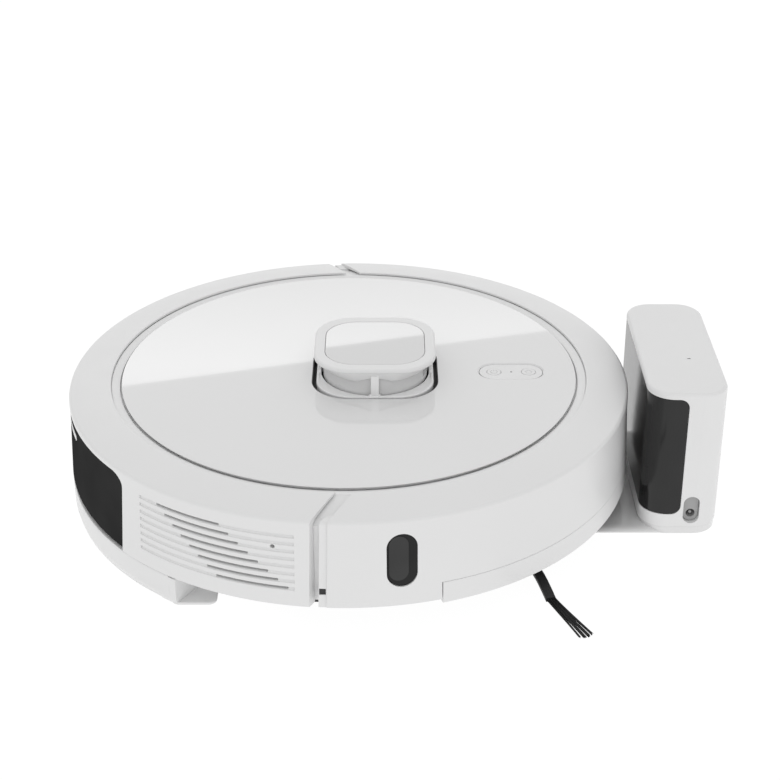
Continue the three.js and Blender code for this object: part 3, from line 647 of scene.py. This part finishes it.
def make_lid():
    edge = [(0, 78.5), (140.4, 78.5), (140.9, 79), (140.9, 80.3), (LID_R - 0.1, 80.7)]
    edge += arc(LID_R - 0.3, LID_TOP - 0.3, 0.3, 0, 90, 4)
    lid = spin("lid_skin", edge + [(0, LID_TOP)], sides=288)
    carve(lid, raised("well", turret_plan(79, 78, 24, 20), 60, 90))
    steps = ((0.9, 79.4), (0.9, 80.6), (0.5, 80.8), (0, LID_TOP), (-0.2, 83))
    dish = loft("dish", [at_height(pill_plan(inset), z) for inset, z in steps])
    stems = [raised("stem", arc(x, PILL_Y, 2.6, 0, 337.5, 15), 70, 90) for x in BUTTONS.values()]
    carve(lid, dish, *stems)
    soften(lid, 0.25, 3)
    dress(lid, "gloss_white", "chassis", ["top_lid"])


def ring_icon(name, x, y, z, r, width, start, end, body):
    outline = arc(x, y, r, start, end, 40) + arc(x, y, r - width, end, start, 40)
    dress(raised(name, outline, z - 0.05, z + 0.04), "satin_white", body, material=ICON)


def line_icon(name, points, z, width, body):
    """A thin flat line through plan points."""
    left, right = [], []
    for i, (x, y) in enumerate(points):
        ax, ay = points[max(i - 1, 0)]
        bx, by = points[min(i + 1, len(points) - 1)]
        length = math.hypot(bx - ax, by - ay)
        nx, ny = -(by - ay) / length * width / 2, (bx - ax) / length * width / 2
        left.append((x + nx, y + ny))
        right.append((x - nx, y - ny))
    dress(raised(name, left + right[::-1], z - 0.05, z + 0.04), "satin_white", body, material=ICON)


def make_buttons():
    panel = cushion("button_panel_plate", lambda inset: pill_plan(1.3 + inset), 79.75, 80.75, 0.25)
    hole_r = BUTTON_R + 0.25
    carve(panel, *[raised("hole", arc(x, PILL_Y, hole_r, 0, 354, 59), 70, 90) for x in BUTTONS.values()])
    dress(panel, "satin_white", "chassis", ["button_panel"])
    for name, x in BUTTONS.items():
        dome = [(0, 78.9), (2, 78.9), (2, 80.2), (BUTTON_R - 0.2, 80.2), (BUTTON_R, 80.35)]
        dome += arc(BUTTON_R - 0.3, 80.65, 0.3, 0, 90, 4) + [(0, 80.85)]
        dress(spin(f"{name}_cap", dome, (x, PILL_Y), 60), "satin_white", name, [name])
    x = BUTTONS["power_button"]
    ring_icon("power_icon_ring", x, PILL_Y, 80.93, 2.3, 0.4, 120, 420, "power_button")
    line_icon("power_icon_bar", [(x, PILL_Y + 0.6), (x, PILL_Y + 2.7)], 80.93, 0.4, "power_button")
    x = BUTTONS["home_button"]
    roof = [(x - 2.4, PILL_Y + 0.1), (x, PILL_Y + 2.2), (x + 2.4, PILL_Y + 0.1)]
    walls = [(x - 1.6, PILL_Y + 0.4), (x - 1.6, PILL_Y - 2), (x + 1.6, PILL_Y - 2)]
    walls += [(x + 1.6, PILL_Y + 0.4)]
    line_icon("home_icon_roof", roof, 80.93, 0.4, "home_button")
    line_icon("home_icon_walls", walls, 80.92, 0.4, "home_button")
    middle = sum(BUTTONS.values()) / 2

    def led_plan(inset):
        return arc(middle, PILL_Y, 0.7 - inset, 0, 345, 23)
    led = cushion("status_light", led_plan, 80.7, 80.85, 0.05)
    dress(led, "satin_white", "chassis", material=LIGHT_PIPE)


def make_turret():
    def cap_plan(inset):
        return turret_plan(75.6 - 2 * inset, 76 - 2 * inset, 24 - inset, 18)
    loops = [(76.7, 1.2), (80.6, 1.1), (81.2, 1.25), (81.5, 1.5)]
    base = loft("turret_cage_shell", [at_height(cap_plan(i), z) for z, i in loops])
    # the cap: a flat plate whose underside narrows to the round bore
    side = TURRET_TOP - 2.7
    crown = [(side - 0.15, 1.2), (side, 0.5), (side + 0.3, 0.1)] + quarter(side + 0.7, 2, 18)
    cap = loft("cap", [at_height(cap_plan(i), z) for z, i in crown])
    neck = loft("neck", [circle_to_plan(t, 90.2 + 7.6 * t) for t in (0, 0.15, 0.3, 0.45, 0.6, 0.75, 0.9, 1)])
    fuse(base, neck)
    for angle in (0, 90, 180, 270):
        post = raised("post", by_turret(rounded(33.6, 36.1, -2.6, 2.6, 0.8, 3)), 79, 95)
        foot = loft("foot", [at_height(by_turret(rounded(33.0, 36.2, -w, w, 0.8, 3)), z)
                             for z, w in ((80.2, 3.8), (81.4, 3.3), (82.1, 2.8), (82.6, 2.4))])
        for one in (post, foot):
            turn_about(one, TURRET_X, TURRET_Y, angle)
        fuse(base, post, foot)
    bore = spin("bore", [(0, 60), (34.1, 60), (34.1, 97.2), (0, 97.2)], (TURRET_X, TURRET_Y), 96)
    carve(base, bore)
    # the top of the base falls outwards from the round bore to its square rim
    steps = ((2.6, 83.5), (2.6, 81.2), (3.2, 80.8))
    hollow = loft("hollow", [at_height(cap_plan(inset), z) for inset, z in steps])
    for angle in (0, 90, 180, 270):
        guard = raised("guard", by_turret(rounded(30, 40, -4, 4, 0.5, 2)), 70, 90)
        carve(hollow, turn_about(guard, TURRET_X, TURRET_Y, angle))
    carve(base, hollow)
    seat = raised("seat", turret_plan(62.4, 60.4, 19.2, 18), TURRET_TOP - 1.4, 120)
    carve(cap, seat)
    soften(cap, 0.3, 3, 40)
    cap.name = "turret_cap_rim"
    dress(cap, "satin_white", "turret", smooth=40)
    soften(base, 0.3, 3, 40)
    # the cage, neck and posts get the whiter copy as painted light against their shade
    dress(base, "satin_white", "turret", ["turret_cage"], material=CAGE_WHITE_PAINTED_LIGHT, smooth=40)
    liner = raised("well_liner", turret_plan(79.4, 78.4, 24.2, 20), 76.2, 80.6)
    carve(liner, raised("gap", turret_plan(77.9, 76.9, 23.5, 20), 70, 90))
    dress(liner, "dark_plastic", "chassis")

    def panel_plan(inset):
        return turret_plan(61.8 - 2 * inset, 59.8 - 2 * inset, 18.9 - inset, 18)
    panel = cushion("turret_panel_gloss", panel_plan, TURRET_TOP - 1.2, TURRET_TOP - 0.1, 0.2)
    # the top panel gets the darker gloss copy as painted shade
    dress(panel, "gloss_white", "turret", ["turret_top_panel"], material=PANEL_GLOSS_PAINTED_SHADE)


def circle_to_plan(t, z):
    """A loop between the round bore (t = 0) and the outline of the cap (t = 1)."""
    square = turret_plan(74.6, 75, 23.5, 18)
    loop = []
    for x, y in square:
        dx, dy = x - TURRET_X, y - TURRET_Y
        length = math.hypot(dx, dy)
        r = 34.6 + (length - 34.6) * t
        loop.append((TURRET_X + dx / length * r, TURRET_Y + dy / length * r, z))
    return loop


def make_lidar():
    rim = [(0, 75.3), (11, 75.3), (11, 78.6), (31.6, 78.6), (32.4, 78.9), (32.7, 79.5)]
    rim += [(32.7, 93.6), (32.4, 94.2), (31.8, 94.4), (0, 94.4)]
    drum = spin("lidar_drum_body", rim, (TURRET_X, TURRET_Y), 96)
    carve(drum, raised("eye", by_turret(rounded(14, 46, -13, 13, 3, 4)), 83, 89.5))
    soften(drum, 0.3, 2)
    # the drum gets the lighter grey as painted light against its shade
    dress(drum, "grey_plastic", "lidar", ["lidar_drum"], material=DRUM_GREY_PAINTED_LIGHT)
    for name, offset, r in (("lidar_emitter", -6.5, 2.6), ("lidar_receiver", 4.5, 4.6)):
        dome = [(0, 0), (r, 0), (r, 2.5), (r - 0.4, 3.2), (r * 0.6, 3.9), (0, 4.2)]
        lens = spin(name, dome, FRAME_ORIGIN, 32)
        lens.data.transform(Matrix.Translation(in_frame((TURRET_X + 13.6, TURRET_Y + offset, 86.2)))
                            @ Matrix.Rotation(math.radians(90), 4, "Y"))
        dress(lens, "smoked_plastic", "lidar")


# ---- tank and mop ----
def make_tank():
    opening = rounded(-WINDOW_HALF + 0.4, WINDOW_HALF - 0.4, 20, WINDOW_TOP - 0.4, 7.6)
    profile = [(171.6, 24.5), (174.6, 24.5), (175.2, 24.8), (176.5, 27.4), (wall_r(28.5, 0.3), 28.5)]
    profile += [(wall_r(z, 0.3), z) for z in (40, 55, TAPER_Z, 74)] + [(174.5, 75), (171.6, 75)]
    pane = sweep("tank_window_pane", profile, 135, 225, 0.75)
    keep(pane, pushed_x("trim", opening, -200, -100))
    carve(pane, pushed_x("bar_slot", rounded(-62.1, 62.1, 64.3, 69.3, 2.4), -200, -100))
    soften(pane, 0.35, 3)
    dress(pane, "smoked_plastic", "tank", ["tank_window"], material=WINDOW_TINT)
    skin = sweep("skin", [(172.8, 60), (174.9, 60), (174.9, 74), (172.8, 74)], 150, 210, 0.75)
    bar = pushed_x("tank_release_bar", rounded(-61.5, 61.5, 64.8, 68.8, 2, 10), -180, -140)
    keep(bar, skin)
    soften(bar, 0.4, 3)
    dress(bar, "satin_white", "tank_release", ["tank_release"])


def bracket_plan(inset):
    outer = arc(0, 0, 175.6 - inset, 126, 234, 60)
    side = [(-101.6 - inset, -120), (-64 - inset, -118 + inset)]
    return outer + side + [(x, -y) for x, y in reversed(side)]


def make_mop():
    steps = ((5.4, 1.0), (5.7, 0.3), (6.2, 0), (8.4, 0))
    plate = loft("mop_bracket_shell", [at_height(bracket_plan(i), z) for z, i in steps])
    rim_profile = [(169.6, 6), (174.2, 6), (175.6, 7.2), (176.4, 9), (176.7, 11), (176.7, 22.8)]
    rim_profile += [(176.4, 23.4), (175.6, 23.7), (169.6, 23.7)]
    fuse(plate, sweep("rim", rim_profile, 125.2, 234.8, 1.0))
    for _, sign in SIDES:
        y0, y1 = sorted((122 * sign, 146.4 * sign))

        def lip_plan(inset):
            return rounded(LIP_BACK, -74.7 - inset, y0 + inset, y1 - inset, 5, 8)
        lip = cushion("lip", lip_plan, 4.6, 6.6, 0.8)
        leaning = ((131 * sign, 5), (130 * sign, 10), (127 * sign, 23.2))
        back = loft("lip_wall", [[(LIP_BACK, y, z), (-74.9, y, z), (-74.9, y - 3 * sign, z),
                                  (LIP_BACK, y - 3 * sign, z)] for y, z in leaning])
        end_profile = [(152, 5), (175.2, 5), (176.5, 8), (176.7, 22.8), (152, 23)]
        end = sweep("lip_end", end_profile, *sorted((123.6 * sign, 127.6 * sign)), 1.0)
        fuse(plate, lip, back, end)
        notch = [(173.5, 9), (178, 9), (178, 12), (173.5, 12)]
        carve(plate, sweep("notch", notch, *sorted((161.3 * sign, 162.5 * sign)), 0.6))
    soften(plate, 0.5, 2, 45)
    dress(plate, "satin_white", "mop", ["mop_bracket"], smooth=40)

    def pad_plan(inset):
        half = 114.5 - inset
        reach = 163 - inset
        start = math.degrees(math.asin(half / reach))
        back = arc(0, 0, reach, 180 - start, 180 + start, 60)
        return back + [(-68.5 - inset, -half), (-68.5 - inset, half)]
    pad = cushion("mop_cloth_pad", pad_plan, 0.0, 4.4, 1.9, 5)
    dress(pad, "cloth", "mop", ["mop_pad"])
    steps = ((-0.8, 2.6), (-1.3, 3.2), (-1.3, 4.0), (-0.8, 4.6))
    hem = loft("mop_cloth_hem", [at_height(pad_plan(inset), z) for inset, z in steps])
    dress(hem, "cloth", "mop")


# ---- side brush ----
def make_side_brush():
    x, y = SIDE_BRUSH
    cap = [(0, 5.9), (10.5, 5.9), (12.2, 6.6), (13, 7.8), (12.8, 9.2), (11.6, 9.6), (9, 9.7)]
    cap += [(9, 13.7), (0, 13.7)]
    hub = spin("side_brush_rotor", cap, (x, y), 48)
    line = [(9, -54), (14, -57.5), (18, -60.6), (24, -63.8), (30, -66.4), (38, -69), (44, -70.4)]
    line += [(46.4, TUFT_ANGLE)]
    for turn in (0, 120, 240):
        arm = ribbon("arm", line, turn, lambda t: 3.1 - 0.15 * t, lambda t: 7.5 - 1.7 * t, 1.35)
        fuse(hub, arm)
    soften(hub, 0.3, 2, 40)
    dress(hub, "rubber", "side_brush", ["side_brush_hub"], smooth=40)
    screw_head("side_brush_screw", x, y, 5.9, 2.6, "side_brush")
    for i, turn in enumerate((0, 120, 240)):
        tuft(f"bristles_{i + 1}", turn, f"bristle_tuft_{i + 1}", seed=11 + i)


def ribbon(name, line, turn, half_at, low_at, thickness):
    """A flat rubber arm along [radius, angle] points, with rounded edges."""
    loops = []
    spots = [Vector(polar(r, a + turn)) for r, a in line]
    for i, spot in enumerate(spots):
        t = i / (len(spots) - 1)
        ahead = (spots[min(i + 1, len(spots) - 1)] - spots[max(i - 1, 0)]).normalized()
        side = Vector((-ahead.y, ahead.x))
        half, middle = half_at(t), low_at(t)
        section = rounded(-half, half, -thickness, thickness, 0.6, 3)
        x, y = SIDE_BRUSH[0] + spot.x, SIDE_BRUSH[1] + spot.y
        loops.append([(x + side.x * u, y + side.y * u, middle + v) for u, v in section])
    return loft(name, loops)


def tuft(name, turn, node, seed):
    """Nylon strands that fan out from the end of an arm."""
    chance = random.Random(seed)
    points, faces = [], []
    sides, stations = 4, 7
    for strand in range(TUFT_STRANDS):
        u, v = chance.uniform(-1, 1), chance.uniform(-1, 1)
        clump = round((u + 1) * 1.5) / 1.5 - 1
        spread = 0.55 * u + 0.45 * clump + chance.gauss(0, 0.04)
        length = 1 - 0.04 * chance.random() - 0.05 * abs(u)
        if strand % 23 == 0:
            spread *= 1.25
        path = []
        for k in range(stations):
            t = k / (stations - 1) * length
            radius = TUFT_START + TUFT_LENGTH * t
            angle = TUFT_ANGLE + 5.6 * t - 2.0 * t * t
            aside = spread * (2.3 + 1.9 * t ** 1.4)
            cx, cy = polar(radius, angle + turn)
            nx, ny = polar(1, angle + turn + 90)
            sag = 5.9 - 1.8 * t + 0.9 * v * (1 - 0.5 * t)
            path.append(Vector((SIDE_BRUSH[0] + cx + nx * aside, SIDE_BRUSH[1] + cy + ny * aside, sag)))
        start = len(points)
        for k, spot in enumerate(path):
            along = (path[min(k + 1, stations - 1)] - path[max(k - 1, 0)]).normalized()
            across = along.cross(Vector((0, 0, 1))).normalized()
            up = across.cross(along)
            r = 0.21 - 0.05 * k / stations
            for s in range(sides):
                a = 2 * math.pi * s / sides
                points.append(tuple(spot + across * r * math.cos(a) + up * r * math.sin(a)))
        faces += tube(start, sides, stations)
    dress(mesh_from(name, points, faces), "bristle", "side_brush", [node], smooth=80)


def screw_head(name, x, y, z, r, body):
    """A pan-head screw with a cross recess that faces down."""
    profile = [(0, z - 0.75), (r * 0.8, z - 0.5), (r, z + 0.1), (r, z + 0.8), (0, z + 0.8)]
    head = spin(name, profile, (x, y), 28)
    long, short = r * 0.55, 0.22 * r / 1.6
    for angle in (45, 135):
        bar = box("bar", x - long, x + long, y - short, y + short, z - 1.5, z - 0.1)
        carve(head, turn_about(bar, x, y, angle))
    dress(head, "metal", body, smooth=35)


# ---- main brush ----
def make_main_brush():
    core = mirrored([(0, -85.2), (3.5, -85.2), (3.5, -80), (9.2, -80), (9.6, -79.5)])
    roller = spin("brush_core", core, FRAME_ORIGIN, 40)
    turn = Matrix.Rotation(math.radians(-90), 4, "X")
    roller.data.transform(Matrix.Translation(in_frame((ROLLER_X, 0, ROLLER_Z))) @ turn)
    soften(roller, 0.3, 2)
    dress(roller, "rubber", "main_brush", ["brush_roller"])
    for i in range(3):
        helix_blade(f"brush_blade_{i + 1}", i * 120)
        helix_bristles(f"brush_bristles_{i + 1}", i * 120 + 60, seed=40 + i)


def helix_angle(y):
    """V-shaped twist: both halves lead towards the middle."""
    return 55 * abs(y) / 80


def helix_blade(name, phase):
    loops = []
    for k in range(49):
        y = -79 + 158 * k / 48
        a = math.radians(phase + helix_angle(y))
        radial, tangent = (math.cos(a), math.sin(a)), (-math.sin(a), math.cos(a))
        section = [(9.0, -1.2), (12, -0.8), (20.4, -0.5), (20.8, 0), (20.4, 0.5), (12, 0.8), (9.0, 1.2)]
        loops.append([(ROLLER_X + radial[0] * r + tangent[0] * w, y,
                       ROLLER_Z + radial[1] * r + tangent[1] * w) for r, w in section])
    dress(loft(name, loops), "rubber", "main_brush", smooth=50)


def helix_bristles(name, phase, seed):
    chance = random.Random(seed)
    points, faces = [], []
    for k in range(46):
        y0 = -77 + 154 * k / 45
        for _ in range(7):
            y = y0 + chance.uniform(-0.9, 0.9)
            a = math.radians(phase + helix_angle(y0) + chance.uniform(-5, 5))
            tip = math.radians(phase + helix_angle(y0) + chance.uniform(-9, 9))
            reach = chance.uniform(20.3, 21.3)
            start = len(points)
            for r, angle, width in ((9.2, a, 0.16), (15, (a + tip) / 2, 0.15), (reach, tip, 0.1)):
                x, z = ROLLER_X + r * math.cos(angle), ROLLER_Z + r * math.sin(angle)
                points += [(x - width, y, z), (x, y - width, z + width)]
                points += [(x + width, y, z), (x, y + width, z - width)]
            faces += tube(start, 4, 3)
    dress(mesh_from(name, points, faces), "bristle", "main_brush", smooth=80)


# ---- wheels ----
def make_wheels():
    for side, sign in SIDES:
        tread(f"tyre_tread_{side}", sign, side)
        hub_profile = [(0, 0), (8.2, 0), (8.6, 0.5), (8.6, 2.6), (10, 3.2), (22, 3.2), (23, 2.4)]
        hub_profile += [(23.3, 0.6), (23.9, 0), (27.4, 0), (27.6, 0.5), (27.6, 22), (0, 22)]
        hub = spin(f"wheel_disc_{side}", hub_profile, FRAME_ORIGIN, 60)
        turn = Matrix.Rotation(math.radians(90 * sign), 4, "X")
        place = Matrix.Translation(in_frame((WHEEL_X, 126.2 * sign, WHEEL_R)))
        hub.data.transform(place @ turn)
        dress(hub, "grey_plastic", f"wheel_{side}", [f"wheel_hub_{side}"], smooth=40)


def tread(name, sign, side):
    """A tyre with chevron lugs, made as a grid round the wheel."""
    around, across = 288, 24
    points, faces = [], []
    for i in range(around):
        a = 2 * math.pi * i / around
        for j in range(across + 1):
            t = j / across
            y = (103 + 24 * t) * sign
            chevron = (i / around * 24 + 0.9 * abs(t - 0.5)) % 1
            lug = 1 if chevron < 0.55 else 0
            shoulder = min(1, min(t, 1 - t) / 0.08)
            r = 33.4 + 1.55 * lug * shoulder - 1.2 * (1 - shoulder) ** 2
            points.append((WHEEL_X + r * math.cos(a), y, WHEEL_R + r * math.sin(a)))
        for y in (127 * sign, 103 * sign):
            points.append((WHEEL_X + 28 * math.cos(a), y, WHEEL_R + 28 * math.sin(a)))
    row = across + 3
    for i in range(around):
        a, b = i * row, (i + 1) % around * row
        faces += [(a + j, b + j, b + (j + 1) % row, a + (j + 1) % row) for j in range(row)]
    dress(mesh_from(name, points, faces), "rubber", f"wheel_{side}", [f"wheel_tyre_{side}"], smooth=28)


def make_caster():
    half = [(0, -8), (5, -8), (5.4, -7.4), (9.5, -7.4), (10, -8), (11.6, -8), (12.8, -7), (13, -5.6)]
    wheel = spin("caster_tyre", mirrored(half), FRAME_ORIGIN, 48)
    turn = Matrix.Rotation(math.radians(-90), 4, "X")
    wheel.data.transform(Matrix.Translation(in_frame(CASTER_AT)) @ turn)
    dress(wheel, "satin_white", "caster_roller", ["caster_wheel"], smooth=35)


# ---- underside details ----
def make_underside():
    for i, (angle, r) in enumerate(PAN_SCREWS):
        x, y = polar(r, angle)
        screw_head(f"pan_screw_{i + 1}", x, y, 10.0, 2.8, "chassis")
    for i, y in enumerate((-54, 54)):
        screw_head(f"cover_screw_{i + 1}", 62, y, 10.0, 2.4, "chassis")
    for i, angle in enumerate((-33, 33)):
        x, y = polar(148, angle)

        def pane_plan(inset):
            half_x, half_y = 7 - inset, 4 - inset
            return rounded(x - half_x, x + half_x, y - half_y, y + half_y, half_y, 8)
        pane = cushion(f"cliff_sensor_{i + 1}", pane_plan, 9.6, 10.4, 0.3)
        dress(pane, "smoked_plastic", "chassis")


# ---- dock ----
def dock_plan(inset):
    x0, x1, half = DOCK_X0 + inset, DOCK_X1 - inset, DOCK_HALF - inset
    return rounded(x0, x1, -half, half, DOCK_CORNER - inset, 12)


def make_dock():
    edge = 2.2
    loops = [(5.4, 0.0), (40, 0.0)] + quarter(DOCK_TOP - edge, edge, 15)
    shell = loft("dock_body", [at_height(dock_plan(i), z) for z, i in loops])
    carve(shell, raised("hollow", dock_plan(4.2), -5, DOCK_TOP - 4))
    region = pushed_y("region", rounded(DOCK_X0 - 20, 204.4, 14, 94.2, 6), -100, 100)
    skin = carve(raised("skin", dock_plan(-2), 0, DOCK_TOP), raised("inner", dock_plan(2), -5, 120))
    carve(shell, keep(region, skin))
    carve(shell, pushed_y("inlet", rounded(206.2, 216.2, 7.6, 26.6, 5), -80, -DOCK_HALF + 6))
    carve(shell, raised("slit", rounded(209.4, 211.8, -17.6, -16.2, 0.7, 6), 90, 110))
    soften(shell, 0.35, 3, 40)
    dress(shell, "satin_white", "dock", ["dock_shell"], smooth=40)

    face = pushed_y("dock_dark_panel", rounded(DOCK_X0 - 20, 204.1, 14.3, 93.9, 5.7), -100, 100)
    skin = carve(raised("skin", dock_plan(0.15), 0, DOCK_TOP), raised("inner", dock_plan(1.7), -5, 120))
    keep(face, skin)
    soften(face, 0.3, 2, 40)
    dress(face, "smoked_plastic", "dock", ["dock_panel"], material=DOCK_TINT, smooth=40)

    def heel_plan(inset):
        x0, x1, half = DOCK_X0 + 0.5 + inset, DOCK_X1 - 0.5 - inset, DOCK_HALF - 0.5 - inset
        return rounded(x0, x1, -half, half, 15.5 - inset)

    def tongue_plan(inset):
        half = DOCK_HALF - 0.5 - inset
        return rounded(136 + inset, 205, -half, half, 10 - inset)
    steps = ((0, 0.4), (0.4, 0), (1.2, 0), (2.2, 1.2), (2.8, 3.0), (3.0, 6))
    base = loft("dock_foot_plate", [at_height(tongue_plan(i), z) for z, i in steps])
    fuse(base, raised("heel", heel_plan(0), 0, 5.1))
    for _, sign in SIDES:
        spot = (CONTACT_X, CONTACT_Y * sign)
        fuse(base, spin("boss", [(0, 0), (6, 0), (6, 5.4), (5.4, 6), (0, 6)], spot, 32))
        carve(base, raised("bore", arc(*spot, 3.75, 0, 345, 23), 1.5, 20))
    soften(base, 0.4, 2, 45)
    dress(base, "satin_white", "dock", ["dock_base"], material=MATERIALS["gloss_white"], smooth=40)

    for side, sign in SIDES:
        pin = [(0, 3.6), (3.4, 3.6), (3.4, 7.6), (3.0, 8.5), (1.8, 9.0), (0, 9.05)]
        dome = spin(f"dock_pin_{side}_dome", pin, (CONTACT_X, CONTACT_Y * sign), 32)
        dress(dome, "metal", f"dock_pin_{side}", [f"dock_contact_{side}"])
    pipe = raised("dock_light_pipe", rounded(209.55, 211.65, -17.45, -16.35, 0.5, 6), 92, DOCK_TOP - 0.4)
    dress(pipe, "gloss_white", "dock", ["dock_light"], material=LIGHT_PIPE)


# ---- carried-over CAD pieces ----
def dress_frame():
    slots = {entry["node"]: entry["material_slot"] for entry in frame["record"]["subparts"]}
    for node, obj in frame["nodes"].items():
        slot = slots[node]
        if not obj.material_slots:
            obj.data.materials.append(MATERIALS[slot])
        for holder in obj.material_slots:
            holder.link = "OBJECT"
            holder.material = MATERIALS[slot]


# ---- stage ----
CARD_LOW, CARD_HIGH = 0.52, 1.0
CARD_TOP, CARD_FALL = 1.8045, 0.1458


def look_at(obj, target):
    away = Vector(target) - obj.location
    obj.rotation_euler = away.to_track_quat("-Z", "Y").to_euler()


def make_stage():
    mesh = bpy.data.meshes.new("floor")
    side, low = 60.0, -0.0002
    corners = [(-side, -side, low), (side, -side, low), (side, side, low), (-side, side, low)]
    mesh.from_pydata(corners, [], [(0, 1, 2, 3)])
    floor = bpy.data.objects.new("floor", mesh)
    bpy.context.scene.collection.objects.link(floor)
    paper = bpy.data.materials.new("pale_floor")
    tree, shader = nodes_of(paper)
    shader.inputs["Base Color"].default_value = grey(0.06)
    shader.inputs["Roughness"].default_value = 1.0
    shader.inputs["Specular IOR Level"].default_value = 0.0
    shader.inputs["Emission Color"].default_value = grey(1.0)
    shader.inputs["Emission Strength"].default_value = 0.98
    floor.data.materials.append(paper)

    world = bpy.data.worlds.new("studio")
    bpy.context.scene.world = world
    world.use_nodes = True
    background = world.node_tree.nodes["Background"]
    tree = world.node_tree
    place = tree.nodes.new("ShaderNodeTexCoord")
    split = tree.nodes.new("ShaderNodeSeparateXYZ")
    tree.links.new(place.outputs["Generated"], split.inputs["Vector"])
    beside = tree.nodes.new("ShaderNodeMath")
    beside.operation = "ABSOLUTE"
    tree.links.new(split.outputs["X"], beside.inputs[0])
    sides = ramp(tree, beside.outputs[0], grey(1.0), grey(0.66), 0.25, 1.0)
    tree.links.new(sides, background.inputs["Color"])
    background.inputs["Strength"].default_value = 0.965

    make_card()
    bpy.context.scene.view_settings.view_transform = "Standard"


def make_card():
    """A light panel behind the robot, out of view: the glossy lid mirrors its slanting top edge."""
    mesh = bpy.data.meshes.new("card")
    x0, x1, far, low = -1.6, 1.4, 3.45, -0.1
    top = [CARD_TOP - x * CARD_FALL for x in (x0, x1)]
    corners = [(x0, far, low), (x1, far, low), (x1, far, top[1]), (x0, far, top[0])]
    mesh.from_pydata(corners, [], [(0, 1, 2, 3)])
    card = bpy.data.objects.new("light_card", mesh)
    card.location.x = AXIS_X
    bpy.context.scene.collection.objects.link(card)
    glow = bpy.data.materials.new("card_glow")
    tree, shader = nodes_of(glow)
    place = tree.nodes.new("ShaderNodeTexCoord")
    split = tree.nodes.new("ShaderNodeSeparateXYZ")
    tree.links.new(place.outputs["Object"], split.inputs["Vector"])
    share = tree.nodes.new("ShaderNodeMath")
    share.operation = "MULTIPLY"
    share.inputs[1].default_value = 0.5
    tree.links.new(split.outputs["Z"], share.inputs[0])
    fade = ramp(tree, share.outputs[0], grey(CARD_LOW), grey(CARD_HIGH), 0.72, 0.92)
    shader.inputs["Base Color"].default_value = grey(0.0)
    shader.inputs["Specular IOR Level"].default_value = 0.0
    tree.links.new(fade, shader.inputs["Emission Color"])
    shader.inputs["Emission Strength"].default_value = 2.0
    card.data.materials.append(glow)


def make_camera():
    data = bpy.data.cameras.new("camera")
    data.lens = 78.46
    data.sensor_width = 36.0
    camera = bpy.data.objects.new("camera", data)
    camera.location = in_frame((22.37, -954.02, 573.92))
    look_at(camera, in_frame((25.7, 0, 67.3)))
    bpy.context.scene.collection.objects.link(camera)
    bpy.context.scene.camera = camera


make_camera()
make_stage()
dress_frame()
make_rear_shell()
make_bumper()
make_bumper_springs()
make_sensor_window()
make_deck()
make_lid()
make_buttons()
make_turret()
make_lidar()
make_tank()
make_mop()
make_side_brush()
make_main_brush()
make_wheels()
make_caster()
make_underside()
make_dock()
